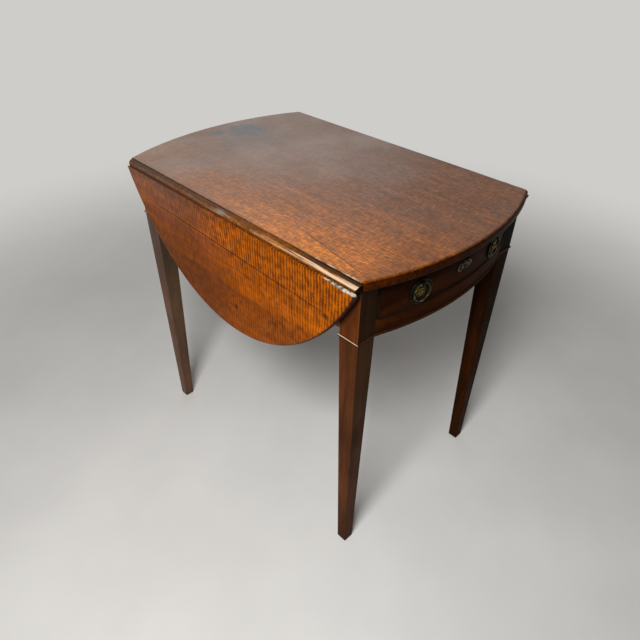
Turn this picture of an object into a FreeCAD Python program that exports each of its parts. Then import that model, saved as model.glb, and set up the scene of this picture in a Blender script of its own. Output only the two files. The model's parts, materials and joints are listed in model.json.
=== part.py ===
"""Pembroke table: a bowed frieze on four tapered legs, a drawer at one end, a dummy drawer at the
other, and two drop leaves on rule joints, held up by fly brackets that swing out of the side rails.

Millimetres, +Z up. The origin is on the floor under the middle of the table. The drawer faces -Y,
the leaves hang along the two long sides at -X (left) and +X (right).
"""
import FreeCAD, Part
import math
import os

Vector = FreeCAD.Vector

# Table top: an oval when both leaves are raised
table_height = 715.0
top_half_length = 388.0
top_half_width = 496.0
joint_half_width = 244.0
top_edge_round = 7.0
under_edge_round = 5.0
corner_round = 6.0
end_overhang = 6.4

# Rule joint between the top and each leaf
joint_fillet = 4.0
joint_radius = 11.0
joint_lip = 3.0
joint_gap = 0.5

# Leaf hinges, let into the undersides
hinge_place_shares = (-0.62, 0.0, 0.62)
hinge_width = 38.0
hinge_plate = 2.0
hinge_top_flap = 30.0
hinge_leaf_flap = 46.0
hinge_barrel_radius = 2.8
hinge_pin_radius = 1.4
hinge_knuckles = 3
hinge_gap = 0.4
hinge_screw_row = 11.0
hinge_screw_margin = 7.0

# Wood screws
screw_head_radius = 3.4
screw_radius = 1.7
screw_length = 12.0
top_screw_length = 20.0
top_screw_place_shares = (-0.82, -0.28, 0.28, 0.82)

# Legs, tapered below a bead
leg_top = 42.0
leg_foot = 23.0
foot_set_in = 7.0
foot_bevel = 1.5
leaf_to_leg_gap = 3.0
bead_height = 5.0
bead_proud = 2.0

# Frieze: rails between the legs
frieze_depth = 108.0
bow_rise = 32.0
lower_rail_height = 29.0
upper_rail_height = 10.0
rear_rail_thickness = 24.0
rail_bead_depth = 9.0
inner_rail_thickness = 13.0
inner_rail_set_in = 5.0

# Tenons and dovetails that hold the rails in the legs
tenon_thickness = 12.0
tenon_set_in = 8.0
tenon_length = 20.0
tenon_shoulder = 5.0
side_tenon_thickness = 8.0
side_tenon_length = 17.0
side_tenon_shoulder = 12.0
rail_tail_root = 12.0
rail_tail_tip = 18.0

# Fly brackets cut from the outer side rails
fly_thickness = 12.0
fly_length = 122.0
fly_knuckle_offset = 48.0
fly_knuckles = 5
fly_pin_radius = 2.5
fly_end_slope = 36.0
fly_end_gap = 1.5
fly_gap = 0.4

# Drawer carcase
drawer_gap = 1.0
drawer_run_gap = 0.3
drawer_front_thickness = 22.0
drawer_side_thickness = 10.0
drawer_side_drop = 6.0
drawer_back_thickness = 10.0
drawer_back_drop = 4.0
drawer_end_gap = 29.0
drawer_bottom_thickness = 6.0
drawer_bottom_rise = 6.0
drawer_groove = 4.0
drawer_back_tongue = 4.0
tail_count = 3
tail_reach = 14.0
tail_root = 9.0
tail_tip = 15.0

# Runners, guides, kickers and stops that the drawer slides on and against
runner_width = 20.0
runner_height = 12.0
guide_height = 18.0
kicker_width = 23.0
stop_height = 4.0
stop_depth = 14.0
stop_width = 36.0
stop_offset = 100.0

# Cock beads round the drawer front and the dummy front
cock_bead = 2.6
cock_bead_proud = 1.5
cock_bead_depth = 6.0

# Drawer lock and escutcheon
lock_width = 56.0
lock_height = 38.0
lock_depth = 12.0
bolt_width = 20.0
bolt_depth = 6.0
bolt_height = 30.0
bolt_gap = 0.3
bolt_travel = 8.0
escutcheon_half_width = 21.0
escutcheon_half_height = 8.0
escutcheon_plate = 1.2
escutcheon_lobes = 12
escutcheon_lobe_radius = 2.6
keyhole_radius = 2.4
keyhole_slot = 2.4
keyhole_drop = 7.5
keyhole_lift = 4.0

# Ring pulls
pull_offset = 112.0
pull_drop = 4.0
pull_plate_radius = 25.0
pull_plate = 1.4
pull_rim = 3.0
pull_rim_width = 3.4
pull_boss_radius = 10.0
pull_boss_height = 4.6
pull_boss_land_radius = 6.5
pull_ring_radius = 17.6
pull_wire_radius = 1.6
pull_wire_gap = 2.0
pull_eye_gap = 0.45
pull_eye_radius = 4.6
pull_eye_length = 5.0
pull_post_radius = 2.2
pull_knob_radius = 4.6
pull_knob_height = 3.2
pull_nut_radius = 6.0
pull_nut_height = 4.0

# Shares of the sizes that they follow
bead_round_share = 0.9
ogee_lift_share = 0.05
tail_centre_share = 0.5
rim_land_share = 0.25
level_slope_share = 0.05

# Clearances and the overrun of every cut
glue_fit = 0.1
pin_fit = 0.02
running_fit = 0.08
seat_gap = 0.05
overrun = 5.0
quarter_turn = 90.0
half_turn = 180.0

# Heights that follow from the sizes above
top_thickness = joint_fillet + joint_radius + joint_lip
underside = table_height - top_thickness
pivot_height = underside + joint_lip
frieze_bottom = underside - frieze_depth
bead_bottom = frieze_bottom - bead_height
drawer_floor = frieze_bottom + lower_rail_height
drawer_ceiling = underside - upper_rail_height
front_low = drawer_floor + drawer_gap
front_high = drawer_ceiling - drawer_gap
side_low = drawer_floor + drawer_run_gap
side_high = front_high - drawer_side_drop
bottom_low = side_low + drawer_bottom_rise
bottom_high = bottom_low + drawer_bottom_thickness
front_middle = (front_low + front_high) / 2
pull_height = front_middle - pull_drop
keyhole_height = front_middle + keyhole_lift

# Places in plan that follow from the sizes above
corner_half_length = top_half_length * math.sqrt(1 - (joint_half_width / top_half_width) ** 2)
leaf_back = joint_half_width - joint_lip
leg_out_x = leaf_back - leaf_to_leg_gap
leg_in_x = leg_out_x - leg_top
leg_out_y = corner_half_length - end_overhang
leg_in_y = leg_out_y - leg_top
inner_rail_in = leg_in_x + inner_rail_set_in
inner_rail_out = inner_rail_in + inner_rail_thickness
fly_out = inner_rail_out + fly_gap + fly_thickness
fly_axis_x = inner_rail_out + fly_gap + fly_thickness / 2
fly_knuckle_radius = fly_thickness / 2
fly_shoulder = fly_knuckle_radius + fly_gap
drawer_half_width = leg_in_x - drawer_gap
side_in = drawer_half_width - drawer_side_thickness
drawer_end = leg_in_y - drawer_end_gap

# The bowed ends are arcs through the legs' outer faces
bow_radius = (leg_in_x ** 2 + bow_rise ** 2) / (2 * bow_rise)
bow_centre = bow_radius - leg_out_y - bow_rise
front_inner_radius = bow_radius - drawer_front_thickness
pull_turn = math.degrees(math.asin(pull_offset / bow_radius))
pull_face = bow_centre - math.sqrt(bow_radius ** 2 - pull_offset ** 2)


def box(x, y, z):
    """A block between a low and a high end along each axis."""
    return Part.makeBox(x[1] - x[0], y[1] - y[0], z[1] - z[0], Vector(x[0], y[0], z[0]))


def rod(radius, start, end):
    """A round bar between two points."""
    return Part.makeCylinder(radius, (end - start).Length, start, end - start)


def prism(points, along):
    """A flat outline of straight sides, extruded along a vector."""
    return Part.Face(Part.makePolygon(points + points[:1])).extrude(along)


def mirrored(shape, axis):
    """The same piece on the other side of the table's middle, across X or Y."""
    return shape.mirror(Vector(), axis)


def on_side(shape, side):
    """A piece made for the right-hand side, kept there or taken to the left."""
    return shape if side > 0 else mirrored(shape, Vector(1, 0, 0))


def at_end(shape, end):
    """A piece made for the drawer end, kept there or taken to the other end."""
    return shape if end < 0 else mirrored(shape, Vector(0, 1, 0))


def both_sides(shape):
    """A piece and its mirror image across the table's length."""
    return [shape, mirrored(shape, Vector(1, 0, 0))]


def disc(radius, z):
    """A round plate about the upright axis that the drawer end's bow is struck from."""
    return Part.makeCylinder(radius, z[1] - z[0], Vector(0, bow_centre, z[0]))


def bowed_strip(outer, inner, x, z):
    """A strip of the bowed front between two radii, cut to a width and a height."""
    strip = disc(outer, z).cut(disc(inner, z))
    return strip.common(box(x, (-outer, 0), z))


def bowed_block(x, z):
    """A rail with a bowed front and a straight back, level with the legs' inner faces."""
    return disc(bow_radius, z).common(box(x, (-bow_radius, -leg_in_y), z))


def lowered(shape):
    """A piece of the right-hand leaf, turned from raised to hanging about the hinge axis."""
    hanging = shape.copy()
    hanging.rotate(Vector(joint_half_width, 0, pivot_height), Vector(0, 1, 0), quarter_turn)
    return hanging


# Table top and leaves

def oval(half_x, half_y):
    """An oval outline, longer along whichever axis has the larger half size."""
    curve = Part.Ellipse(Vector(), max(half_x, half_y), min(half_x, half_y))
    edge = curve.toShape()
    if half_y > half_x:
        edge.rotate(Vector(), Vector(0, 0, 1), quarter_turn)
    return Part.Face(Part.Wire([edge]))


def oval_blank():
    """The whole oval board with its moulded edge, before the leaves are cut off."""
    face = oval(top_half_width, top_half_length)
    face.translate(Vector(0, 0, underside))
    blank = face.extrude(Vector(0, 0, top_thickness))
    for height, rounding in ((table_height, top_edge_round), (underside, under_edge_round)):
        rims = [e for e in blank.Edges if e.isClosed() and abs(e.CenterOfMass.z - height) < seat_gap]
        blank = blank.makeFillet(rounding, rims)
    return blank


def joint_round(radius):
    """The round of the rule joint about the right-hand hinge axis."""
    ends = [Vector(joint_half_width, y, pivot_height) for y in (-top_half_length, top_half_length)]
    return rod(radius, *ends)


def hinge_places():
    """Where the hinges stand along the joint."""
    return [share * corner_half_length for share in hinge_place_shares]


def flap(x, slack):
    """A hinge flap's space in an underside, between two distances from the hinge axis."""
    half = hinge_width / 2 + slack
    span = (joint_half_width + x[0], joint_half_width + x[1])
    return box(span, (-half, half), (underside, underside + hinge_plate))


def hinge_recess():
    """What is cut from the top for one hinge: the flap, the barrel and the leaf flap's path."""
    half = hinge_width / 2 + glue_fit
    reach = hinge_barrel_radius + hinge_gap
    barrel = box((joint_half_width - reach, joint_half_width + reach), (-half, half),
                 (underside - overrun, pivot_height + reach))
    path = box((joint_half_width, joint_half_width + joint_radius + overrun), (-half, half),
               (underside - overrun, underside + hinge_plate + hinge_gap))
    return flap((-hinge_top_flap, 0), glue_fit).fuse([barrel, path])


def screw(length, slack=0.0):
    """A countersunk wood screw that points up, with its head level with the floor."""
    head = Part.makeCone(screw_head_radius + slack, screw_radius + slack, hinge_plate)
    return head.fuse(rod(screw_radius + slack, Vector(), Vector(0, 0, length)))


def screw_places(flap_length, count):
    """Screw places on a hinge flap: rows of two along the flap, from its free end."""
    rows = [flap_length - hinge_screw_margin - row * 2 * hinge_screw_margin for row in range(count)]
    return [Vector(row, y, underside) for row in rows for y in (-hinge_screw_row, hinge_screw_row)]


def flap_screws(sign, flap_length, count, slack=0.0):
    """The screws of one hinge flap on the leaf's side (+1) or the top's side (-1) of the axis."""
    found = []
    for place in screw_places(flap_length, count):
        piece = screw(screw_length, slack)
        piece.translate(Vector(joint_half_width + sign * place.x, place.y, place.z))
        found.append(piece)
    return found


def hinge_barrel(first, last, bore):
    """Barrel between two knuckle numbers, with the pin's bore."""
    places = [number * hinge_width / hinge_knuckles - hinge_width / 2 for number in (first, last)]
    ends = [Vector(joint_half_width, y, pivot_height) for y in places]
    return rod(hinge_barrel_radius, *ends), rod(hinge_pin_radius + bore, *ends)


def hinge_top_plate():
    """The flap screwed to the top, with a barrel at each end of the knuckle."""
    reach = hinge_barrel_radius + hinge_gap
    half = hinge_width / hinge_knuckles / 2 + hinge_gap
    notch = box((joint_half_width - reach, joint_half_width + overrun), (-half, half),
                (underside - overrun, pivot_height + overrun))
    plate = flap((-hinge_top_flap, 0), 0)
    for first in (0, hinge_knuckles - 1):
        barrel, bore = hinge_barrel(first, first + 1, pin_fit)
        plate = plate.fuse(barrel).cut(bore)
    return plate.cut([notch] + flap_screws(-1, hinge_top_flap, 1, seat_gap))


def hinge_leaf_plate():
    """The longer flap screwed to the leaf, with the middle barrel, in the raised place."""
    reach = hinge_barrel_radius + hinge_gap
    half = hinge_width / hinge_knuckles / 2
    plate = flap((0, hinge_leaf_flap), 0)
    for low, high in ((-hinge_width, -half), (half, hinge_width)):
        plate = plate.cut(box((joint_half_width - overrun, joint_half_width + reach), (low, high),
                              (underside - overrun, pivot_height)))
    barrel, bore = hinge_barrel(1, hinge_knuckles - 1, running_fit)
    return plate.fuse(barrel).cut([bore] + flap_screws(1, hinge_leaf_flap, 2, seat_gap))


def hinge_pin():
    """The pin through one knuckle."""
    half = hinge_width / 2
    return rod(hinge_pin_radius, *[Vector(joint_half_width, y, pivot_height) for y in (-half, half)])


def along_joint(pieces):
    """Copies of one hinge's pieces at every hinge place."""
    found = []
    for y in hinge_places():
        for piece in pieces:
            copy = piece.copy()
            copy.translate(Vector(0, y, 0))
            found.append(copy)
    return found


def top_screws(slack=0.0):
    """The screws that come up through the right-hand kicker into the top."""
    x = inner_rail_in - kicker_width / 2
    found = []
    for share in top_screw_place_shares:
        piece = screw(top_screw_length, slack)
        piece.translate(Vector(x, share * leg_in_y, drawer_ceiling))
        found.append(piece)
    return found


def slope(edge):
    """How steeply an edge starts, from 0 where it is level to 1 where it is upright."""
    return abs(edge.tangentAt(edge.FirstParameter).z)


def upright_slab(x):
    """A block between two distances from the middle, larger than the oval board every other way."""
    half = top_half_length + overrun
    return box(x, (-half, half), (underside - overrun, table_height + overrun))


def eased_plan():
    """A block a hair larger than the fixed top's plan, with its four corners rounded off."""
    reach = joint_half_width + joint_radius + seat_gap
    face = oval(top_half_width + seat_gap, top_half_length + seat_gap)
    face.translate(Vector(0, 0, underside - overrun))
    plan = face.extrude(Vector(0, 0, top_thickness + 2 * overrun)).common(upright_slab((-reach, reach)))
    upright = [e for e in plan.Edges if slope(e) > 1 - level_slope_share]
    return plan.makeFillet(corner_round, upright)


def top_board(blank):
    """The fixed top: the oval between the joints, with a round along each long side."""
    field = upright_slab((-joint_half_width, joint_half_width))
    board = blank.common(field.fuse(both_sides(joint_round(joint_radius)))).common(eased_plan())
    cuts = along_joint([hinge_recess()] + flap_screws(-1, hinge_top_flap, 1, seat_gap))
    cuts += top_screws(seat_gap)
    for cut in cuts:
        board = board.cut(both_sides(cut))
    return board


def raised_leaf(blank):
    """The right-hand leaf, raised: the rest of the oval, hollowed to ride round the joint."""
    rest = upright_slab((joint_half_width + joint_gap, top_half_width + overrun))
    leaf = blank.common(rest.cut(joint_round(joint_radius + joint_gap)))
    cuts = [flap((0, hinge_leaf_flap), glue_fit)] + flap_screws(1, hinge_leaf_flap, 2, seat_gap)
    return leaf.cut(along_joint(cuts))


# Frieze and legs

def lower_rail_tenon(slack=0.0):
    """Tenon of the rail under the drawer, in the right-hand leg."""
    y = -leg_out_y + tenon_set_in
    return box((leg_in_x, leg_in_x + tenon_length + slack), (y - slack, y + tenon_thickness + slack),
               (frieze_bottom + tenon_shoulder - slack, drawer_floor - tenon_shoulder + slack))


def upper_rail_tail(slack=0.0):
    """Dovetail of the rail over the drawer, let into the top of the right-hand leg."""
    y = -leg_out_y + tenon_set_in + tenon_thickness / 2
    root = rail_tail_root / 2 + slack
    tip = rail_tail_tip / 2 + slack
    reach = leg_in_x + tenon_length + slack
    corners = [(leg_in_x, y - root), (reach, y - tip), (reach, y + tip), (leg_in_x, y + root)]
    points = [Vector(a, b, drawer_ceiling - slack) for a, b in corners]
    return prism(points, Vector(0, 0, upper_rail_height + slack))


def rear_rail_tenon(slack=0.0):
    """Tenon of the dummy drawer's rail, made at the drawer end."""
    y = -leg_out_y + tenon_set_in
    return box((leg_in_x, leg_in_x + tenon_length + slack), (y - slack, y + tenon_thickness + slack),
               (frieze_bottom + side_tenon_shoulder - slack, underside - side_tenon_shoulder + slack))


def side_tenon(slack=0.0):
    """Tenon of the inner side rail, in the right-hand leg of the drawer end."""
    x = inner_rail_in + (inner_rail_thickness - side_tenon_thickness) / 2
    return box((x - slack, x + side_tenon_thickness + slack),
               (-leg_in_y - side_tenon_length - slack, -leg_in_y),
               (frieze_bottom + side_tenon_shoulder - slack, underside - side_tenon_shoulder + slack))


def square_at(z, size, x_out, y_out):
    """A level square outline with its outer corner at a place, in the drawer end's right-hand leg."""
    x = (x_out - size, x_out)
    y = (-y_out, -y_out + size)
    corners = [(x[0], y[0]), (x[1], y[0]), (x[1], y[1]), (x[0], y[1]), (x[0], y[0])]
    return Part.makePolygon([Vector(a, b, z) for a, b in corners])


def plain_leg():
    """The drawer end's right-hand leg: a square head and a tapered shaft with a bevelled foot."""
    head = box((leg_in_x, leg_out_x), (-leg_out_y, -leg_in_y), (bead_bottom, underside))
    foot_x = leg_out_x - foot_set_in
    sections = [square_at(0, leg_foot - 2 * foot_bevel, foot_x - foot_bevel, leg_out_y - foot_bevel),
                square_at(foot_bevel, leg_foot, foot_x, leg_out_y)]
    foot = Part.makeLoft(sections, True, True)
    shaft = Part.makeLoft([sections[1], square_at(bead_bottom, leg_top, leg_out_x, leg_out_y)], True, True)
    return head.fuse([shaft, foot]).removeSplitter()


def leg(end):
    """A right-hand leg with the mortises for its rails, made at the drawer end."""
    front_cuts = [lower_rail_tenon(glue_fit), upper_rail_tail(glue_fit)]
    rear_cuts = [rear_rail_tenon(glue_fit)]
    cuts = front_cuts if end < 0 else rear_cuts
    return plain_leg().cut([side_tenon(glue_fit)] + cuts)


def leg_bead():
    """The square bead that is slid up the shaft to the head of a leg."""
    proud = bead_proud
    ring = box((leg_in_x - proud, leg_out_x + proud), (-leg_out_y - proud, -leg_in_y + proud),
               (bead_bottom, frieze_bottom))
    level = [e for e in ring.Edges if slope(e) < level_slope_share]
    ring = ring.makeFillet(bead_proud * bead_round_share, level)
    hole = box((leg_in_x - seat_gap, leg_out_x + seat_gap), (-leg_out_y - seat_gap, -leg_in_y + seat_gap),
               (bead_bottom - overrun, frieze_bottom + overrun))
    return ring.cut(hole)


def rail_bead():
    """The bead planted under the bowed rail, between the beads of the two legs."""
    half = leg_in_x - bead_proud - seat_gap
    strip = bowed_strip(bow_radius + bead_proud, bow_radius - rail_bead_depth, (-half, half),
                        (bead_bottom, frieze_bottom))
    front = [e for e in strip.Edges if is_front_arc(e)]
    return strip.makeFillet(bead_proud * bead_round_share, front)


def is_front_arc(edge):
    """Whether an edge is one of the bead's two outer arcs."""
    return isinstance(edge.Curve, Part.Circle) and edge.Curve.Radius > bow_radius


def front_rail_lower():
    """The bowed rail under the drawer."""
    rail = bowed_block((-leg_in_x, leg_in_x), (frieze_bottom, drawer_floor))
    return rail.fuse(both_sides(lower_rail_tenon()))


def front_rail_upper():
    """The thin bowed rail over the drawer, with a mortise for the lock's bolt."""
    rail = bowed_block((-leg_in_x, leg_in_x), (drawer_ceiling, underside))
    half = bolt_width / 2 + drawer_gap
    y = bolt_span()
    mortise = box((-half, half), (y[0] - drawer_gap, y[1] + drawer_gap),
                  (drawer_ceiling - overrun, front_high + bolt_travel + bolt_gap))
    return rail.fuse(both_sides(upper_rail_tail())).cut(mortise)


def rear_rail():
    """The bowed rail of the dummy drawer, made at the drawer end, with grooves for its beads."""
    rail = bowed_strip(bow_radius, bow_radius - rear_rail_thickness, (-leg_in_x, leg_in_x),
                       (frieze_bottom, underside))
    rail = rail.fuse(both_sides(rear_rail_tenon()))
    holes = [at_pull(pull_post_hole(), side) for side in (1, -1)]
    return rail.cut(cock_beads(glue_fit) + holes)


def inner_side_rail():
    """The straight right-hand rail that ties the legs together behind the fly brackets."""
    rail = box((inner_rail_in, inner_rail_out), (-leg_in_y, leg_in_y), (frieze_bottom, underside))
    return rail.fuse([side_tenon(), mirrored(side_tenon(), Vector(0, 1, 0))])


# Fly brackets

def fly_end(shift):
    """The ogee cut between a fly bracket and the rail beyond it, from the bottom up."""
    tip = fly_knuckle_offset + fly_length + shift
    low = Vector(fly_axis_x, tip - fly_end_slope, frieze_bottom)
    high = Vector(fly_axis_x, tip, underside)
    middle = (low + high) / 2
    lift = (underside - frieze_bottom) * ogee_lift_share
    first = Part.Arc(low, (low + middle) / 2 + Vector(0, lift, 0), middle)
    second = Part.Arc(middle, (middle + high) / 2 - Vector(0, lift, 0), high)
    return [first.toShape(), second.toShape()]


def fly_outline(start, curve):
    """A side rail piece's outline from an upright at a place to the ogee cut."""
    low = curve[0].Vertexes[0].Point
    high = curve[-1].Vertexes[-1].Point
    corners = [high, Vector(fly_axis_x, start, underside), Vector(fly_axis_x, start, frieze_bottom), low]
    sides = [Part.makeLine(a, b) for a, b in zip(corners, corners[1:])]
    return Part.Face(Part.Wire(curve + sides))


def thick(face, x):
    """An upright outline, extruded between two distances from the table's middle."""
    face.translate(Vector(x[0] - fly_axis_x, 0, 0))
    return face.extrude(Vector(x[1] - x[0], 0, 0))


def fingers(first, back, bore):
    """Every second finger of a wooden knuckle, reaching back from the axis to a shoulder."""
    step = frieze_depth / fly_knuckles
    axis = Vector(fly_axis_x, fly_knuckle_offset, frieze_bottom)
    span = sorted((fly_knuckle_offset, back))
    found = []
    for number in range(first, fly_knuckles, 2):
        z = (frieze_bottom + number * step + fly_gap / 2, frieze_bottom + (number + 1) * step - fly_gap / 2)
        block = box((fly_axis_x - fly_knuckle_radius, fly_axis_x + fly_knuckle_radius), span, z)
        round_end = rod(fly_knuckle_radius, Vector(axis.x, axis.y, z[0]), Vector(axis.x, axis.y, z[1]))
        found.append(block.fuse(round_end))
    hole = rod(fly_pin_radius + bore, axis, axis + Vector(0, 0, frieze_depth))
    return found, hole


def fly_bracket():
    """The right-hand rear fly bracket, folded back along the rail."""
    start = fly_knuckle_offset + fly_shoulder
    body = thick(fly_outline(start, fly_end(0)), (inner_rail_out + fly_gap, fly_out))
    trim = box((inner_rail_in, leg_out_x), (0, leg_out_y), (frieze_bottom + fly_gap, underside - fly_gap))
    found, hole = fingers(1, start, running_fit)
    return body.common(trim).fuse(found).cut(hole)


def outer_rail_middle():
    """The fixed middle of the right-hand outer rail, with a knuckle for a bracket at each end."""
    start = fly_knuckle_offset - fly_shoulder
    x = (inner_rail_out, fly_out)
    block = box(x, (-start, start), (frieze_bottom, underside))
    found, hole = fingers(0, start, pin_fit)
    for end in (-1, 1):
        block = block.fuse([at_end(piece, -end) for piece in found])
        block = block.cut(at_end(hole, -end))
    return block


def outer_rail_end():
    """The fixed end of the right-hand outer rail, from the rear bracket's ogee to the leg."""
    return thick(fly_outline(leg_in_y, fly_end(fly_end_gap)), (inner_rail_out, fly_out))


def fly_pin():
    """The upright pin of the right-hand rear fly bracket."""
    axis = Vector(fly_axis_x, fly_knuckle_offset, frieze_bottom)
    return rod(fly_pin_radius, axis, axis + Vector(0, 0, frieze_depth))


# Drawer slides

def runner():
    """The right-hand rail that the drawer's side slides on."""
    return box((inner_rail_in - runner_width, inner_rail_in), (-leg_in_y, leg_in_y),
               (drawer_floor - runner_height, drawer_floor))


def guide():
    """The right-hand strip on the runner that keeps the drawer straight."""
    return box((leg_in_x, inner_rail_in), (-leg_in_y, leg_in_y),
               (drawer_floor, drawer_floor + guide_height))


def kicker():
    """The right-hand strip over the drawer that stops it from tipping, screwed to the top."""
    strip = box((inner_rail_in - kicker_width, inner_rail_in), (-leg_in_y, leg_in_y),
                (drawer_ceiling, underside))
    return strip.cut(top_screws(seat_gap))


def drawer_stop():
    """A block on the lower rail, just behind the drawer front, on the right."""
    x = (stop_offset - stop_width / 2, stop_offset + stop_width / 2)
    y = bow_centre - math.sqrt((front_inner_radius - drawer_run_gap) ** 2 - x[1] ** 2)
    return box(x, (y, y + stop_depth), (drawer_floor, drawer_floor + stop_height))


# Drawer

def cock_beads(slack=0.0):
    """Four bead strips let into the edges of the drawer front."""
    outer = bow_radius + cock_bead_proud
    inner = bow_radius - cock_bead_depth - slack
    half = drawer_half_width
    strips = []
    for z in ((front_low, front_low + cock_bead), (front_high - cock_bead, front_high)):
        strips.append(bowed_strip(outer, inner, (-half, half), (z[0] - slack, z[1] + slack)))
    z = (front_low + cock_bead, front_high - cock_bead)
    for x in ((-half, cock_bead - half), (half - cock_bead, half)):
        strips.append(bowed_strip(outer, inner, (x[0] - slack, x[1] + slack), z))
    return strips


def side_tails(slack=0.0):
    """The dovetails of the right-hand drawer side, in the drawer front."""
    root_y = bow_centre - math.sqrt(front_inner_radius ** 2 - drawer_half_width ** 2)
    y = (root_y - tail_reach - slack, root_y + overrun)
    step = (side_high - side_low) / tail_count
    found = []
    for number in range(tail_count):
        middle = side_low + (number + tail_centre_share) * step
        root = tail_root / 2 + slack
        tip = tail_tip / 2 + slack
        corners = [(y[1], middle - root), (y[0], middle - tip), (y[0], middle + tip), (y[1], middle + root)]
        points = [Vector(side_in - slack, a, b) for a, b in corners]
        found.append(prism(points, Vector(drawer_side_thickness + slack, 0, 0)))
    return found


def bottom_board(slack):
    """The drawer's bottom, let into grooves in the front and sides; slack shrinks it to fit them."""
    half = side_in + drawer_groove - slack
    z = (bottom_low + slack, bottom_high - slack)
    field = box((-half, half), (-bow_radius, drawer_end), z)
    return field.common(disc(front_inner_radius + drawer_groove - slack, z))


def drawer_front():
    """The bowed drawer front, with its bead rebates, dovetail sockets, lock seat and holes."""
    z = (front_low, front_high)
    front = bowed_strip(bow_radius, front_inner_radius, (-drawer_half_width, drawer_half_width), z)
    tails = [tail for piece in side_tails(glue_fit) for tail in both_sides(piece)]
    holes = [at_pull(pull_post_hole(), side) for side in (1, -1)]
    return front.cut(cock_beads(glue_fit) + tails + [bottom_board(0), lock_seat(), keyhole()] + holes)


def drawer_side():
    """The right-hand drawer side, with dovetails at the front and grooves for the bottom and back."""
    z = (side_low, side_high)
    side = box((side_in, drawer_half_width), (-leg_out_y, drawer_end), z)
    side = side.common(disc(front_inner_radius - glue_fit, z)).fuse(side_tails())
    return side.cut([bottom_groove(), back_board(glue_fit)])


def bottom_groove():
    """The groove for the bottom along the right-hand side."""
    return box((side_in - overrun, side_in + drawer_groove), (-bow_radius, drawer_end + overrun),
               (bottom_low, bottom_high))


def back_board(slack=0.0):
    """The drawer's back, housed in the sides above the bottom."""
    half = side_in + drawer_back_tongue
    y = (drawer_end - 2 * drawer_back_thickness, drawer_end - drawer_back_thickness)
    return box((-half - slack, half + slack), (y[0] - slack, y[1] + slack),
               (bottom_high, side_high - drawer_back_drop + slack))


# Lock

def bolt_span():
    """Where the lock's bolt lies through the thickness of the drawer front."""
    middle = -leg_out_y - bow_rise + drawer_front_thickness - lock_depth / 2
    return (middle - bolt_depth / 2, middle + bolt_depth / 2)


def lock_block(slack=0.0):
    """The lock's outside, in the back of the drawer front."""
    half = lock_width / 2 + slack
    back = -leg_out_y - bow_rise + drawer_front_thickness
    return box((-half, half), (back - lock_depth - slack, back),
               (front_high - lock_height - slack, front_high + slack))


def lock_seat():
    """What is cut from the drawer front for the lock, open to the inside of the drawer."""
    return lock_block(glue_fit).fuse(lock_block(glue_fit).translated(Vector(0, overrun, 0)))


def lock_bolt(slack=0.0):
    """The bolt, drawn down, level with the top of the lock."""
    half = bolt_width / 2 + slack
    y = bolt_span()
    return box((-half, half), (y[0] - slack, y[1] + slack),
               (front_high - bolt_height - slack, front_high - bolt_gap))


def lock_case():
    """The lock's case, with a channel for the bolt that is open at the top."""
    lift = Vector(0, 0, bolt_travel)
    return lock_block().cut([lock_bolt(bolt_gap), lock_bolt(bolt_gap).translated(lift)])


def keyhole():
    """The keyhole through the escutcheon and the drawer front."""
    y = (-bow_radius, bolt_span()[0] - bolt_depth / 2)
    centre = Vector(0, y[0], keyhole_height)
    half = keyhole_slot / 2
    slot = box((-half, half), y, (keyhole_height - keyhole_drop, keyhole_height))
    return rod(keyhole_radius, centre, Vector(0, y[1], keyhole_height)).fuse(slot)


def escutcheon():
    """A thin oval plate with a lobed edge, bent to the drawer front, round the keyhole."""
    z = (front_low, front_high)
    strip = bowed_strip(bow_radius + seat_gap + escutcheon_plate, bow_radius + seat_gap,
                        (-drawer_half_width, drawer_half_width), z)
    upright = oval(escutcheon_half_width, escutcheon_half_height)
    upright.rotate(Vector(), Vector(1, 0, 0), quarter_turn)
    upright.translate(Vector(0, 0, keyhole_height))
    plate = upright.extrude(Vector(0, -bow_radius, 0))
    for number in range(escutcheon_lobes):
        turn = 2 * math.pi * number / escutcheon_lobes
        place = Vector(escutcheon_half_width * math.cos(turn), 0,
                       keyhole_height + escutcheon_half_height * math.sin(turn))
        plate = plate.fuse(rod(escutcheon_lobe_radius, place, place + Vector(0, -bow_radius, 0)))
    return plate.common(strip).cut(keyhole())


# Ring pulls, made about the origin with the face behind them at y = 0

def at_pull(shape, side):
    """A piece of a ring pull, taken to its place on the bowed front."""
    moved = shape.copy()
    moved.rotate(Vector(), Vector(0, 0, 1), side * pull_turn)
    moved.translate(Vector(side * pull_offset, pull_face, pull_height))
    return moved


def turned(points):
    """A turned piece about the pull's own axis, from (radius, distance out) points."""
    outline = [Vector(radius, -out, 0) for radius, out in points]
    face = Part.Face(Part.makePolygon(outline + outline[:1]))
    return face.revolve(Vector(), Vector(0, 1, 0), 2 * half_turn)


def ring_centre():
    """Distance from the face to the middle of the hanging ring's wire."""
    return seat_gap + pull_plate + pull_wire_gap + pull_wire_radius


def pull_plate_piece():
    """The round back plate: a rim, a stepped boss and an eye for the ring at the top."""
    rim_in = pull_plate_radius - pull_rim_width
    land = pull_rim_width * rim_land_share
    hole = pull_post_radius + seat_gap
    back = seat_gap
    face = back + pull_plate
    points = [(hole, back), (pull_plate_radius, back), (pull_plate_radius, face),
              (pull_plate_radius - land, pull_rim), (rim_in + land, pull_rim), (rim_in, face),
              (pull_boss_radius, face), (pull_boss_radius - land, pull_rim),
              (pull_boss_land_radius, pull_boss_height), (hole, pull_boss_height)]
    centre = Vector(0, -ring_centre(), pull_ring_radius)
    half = Vector(pull_eye_length / 2, 0, 0)
    eye = rod(pull_eye_radius, centre - half, centre + half)
    front_half = box((-pull_eye_length, pull_eye_length), (-pull_plate_radius, -back),
                     (0, pull_plate_radius))
    eye = eye.common(front_half).cut(pull_ring(pull_eye_gap))
    return turned(points).fuse(eye)


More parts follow.
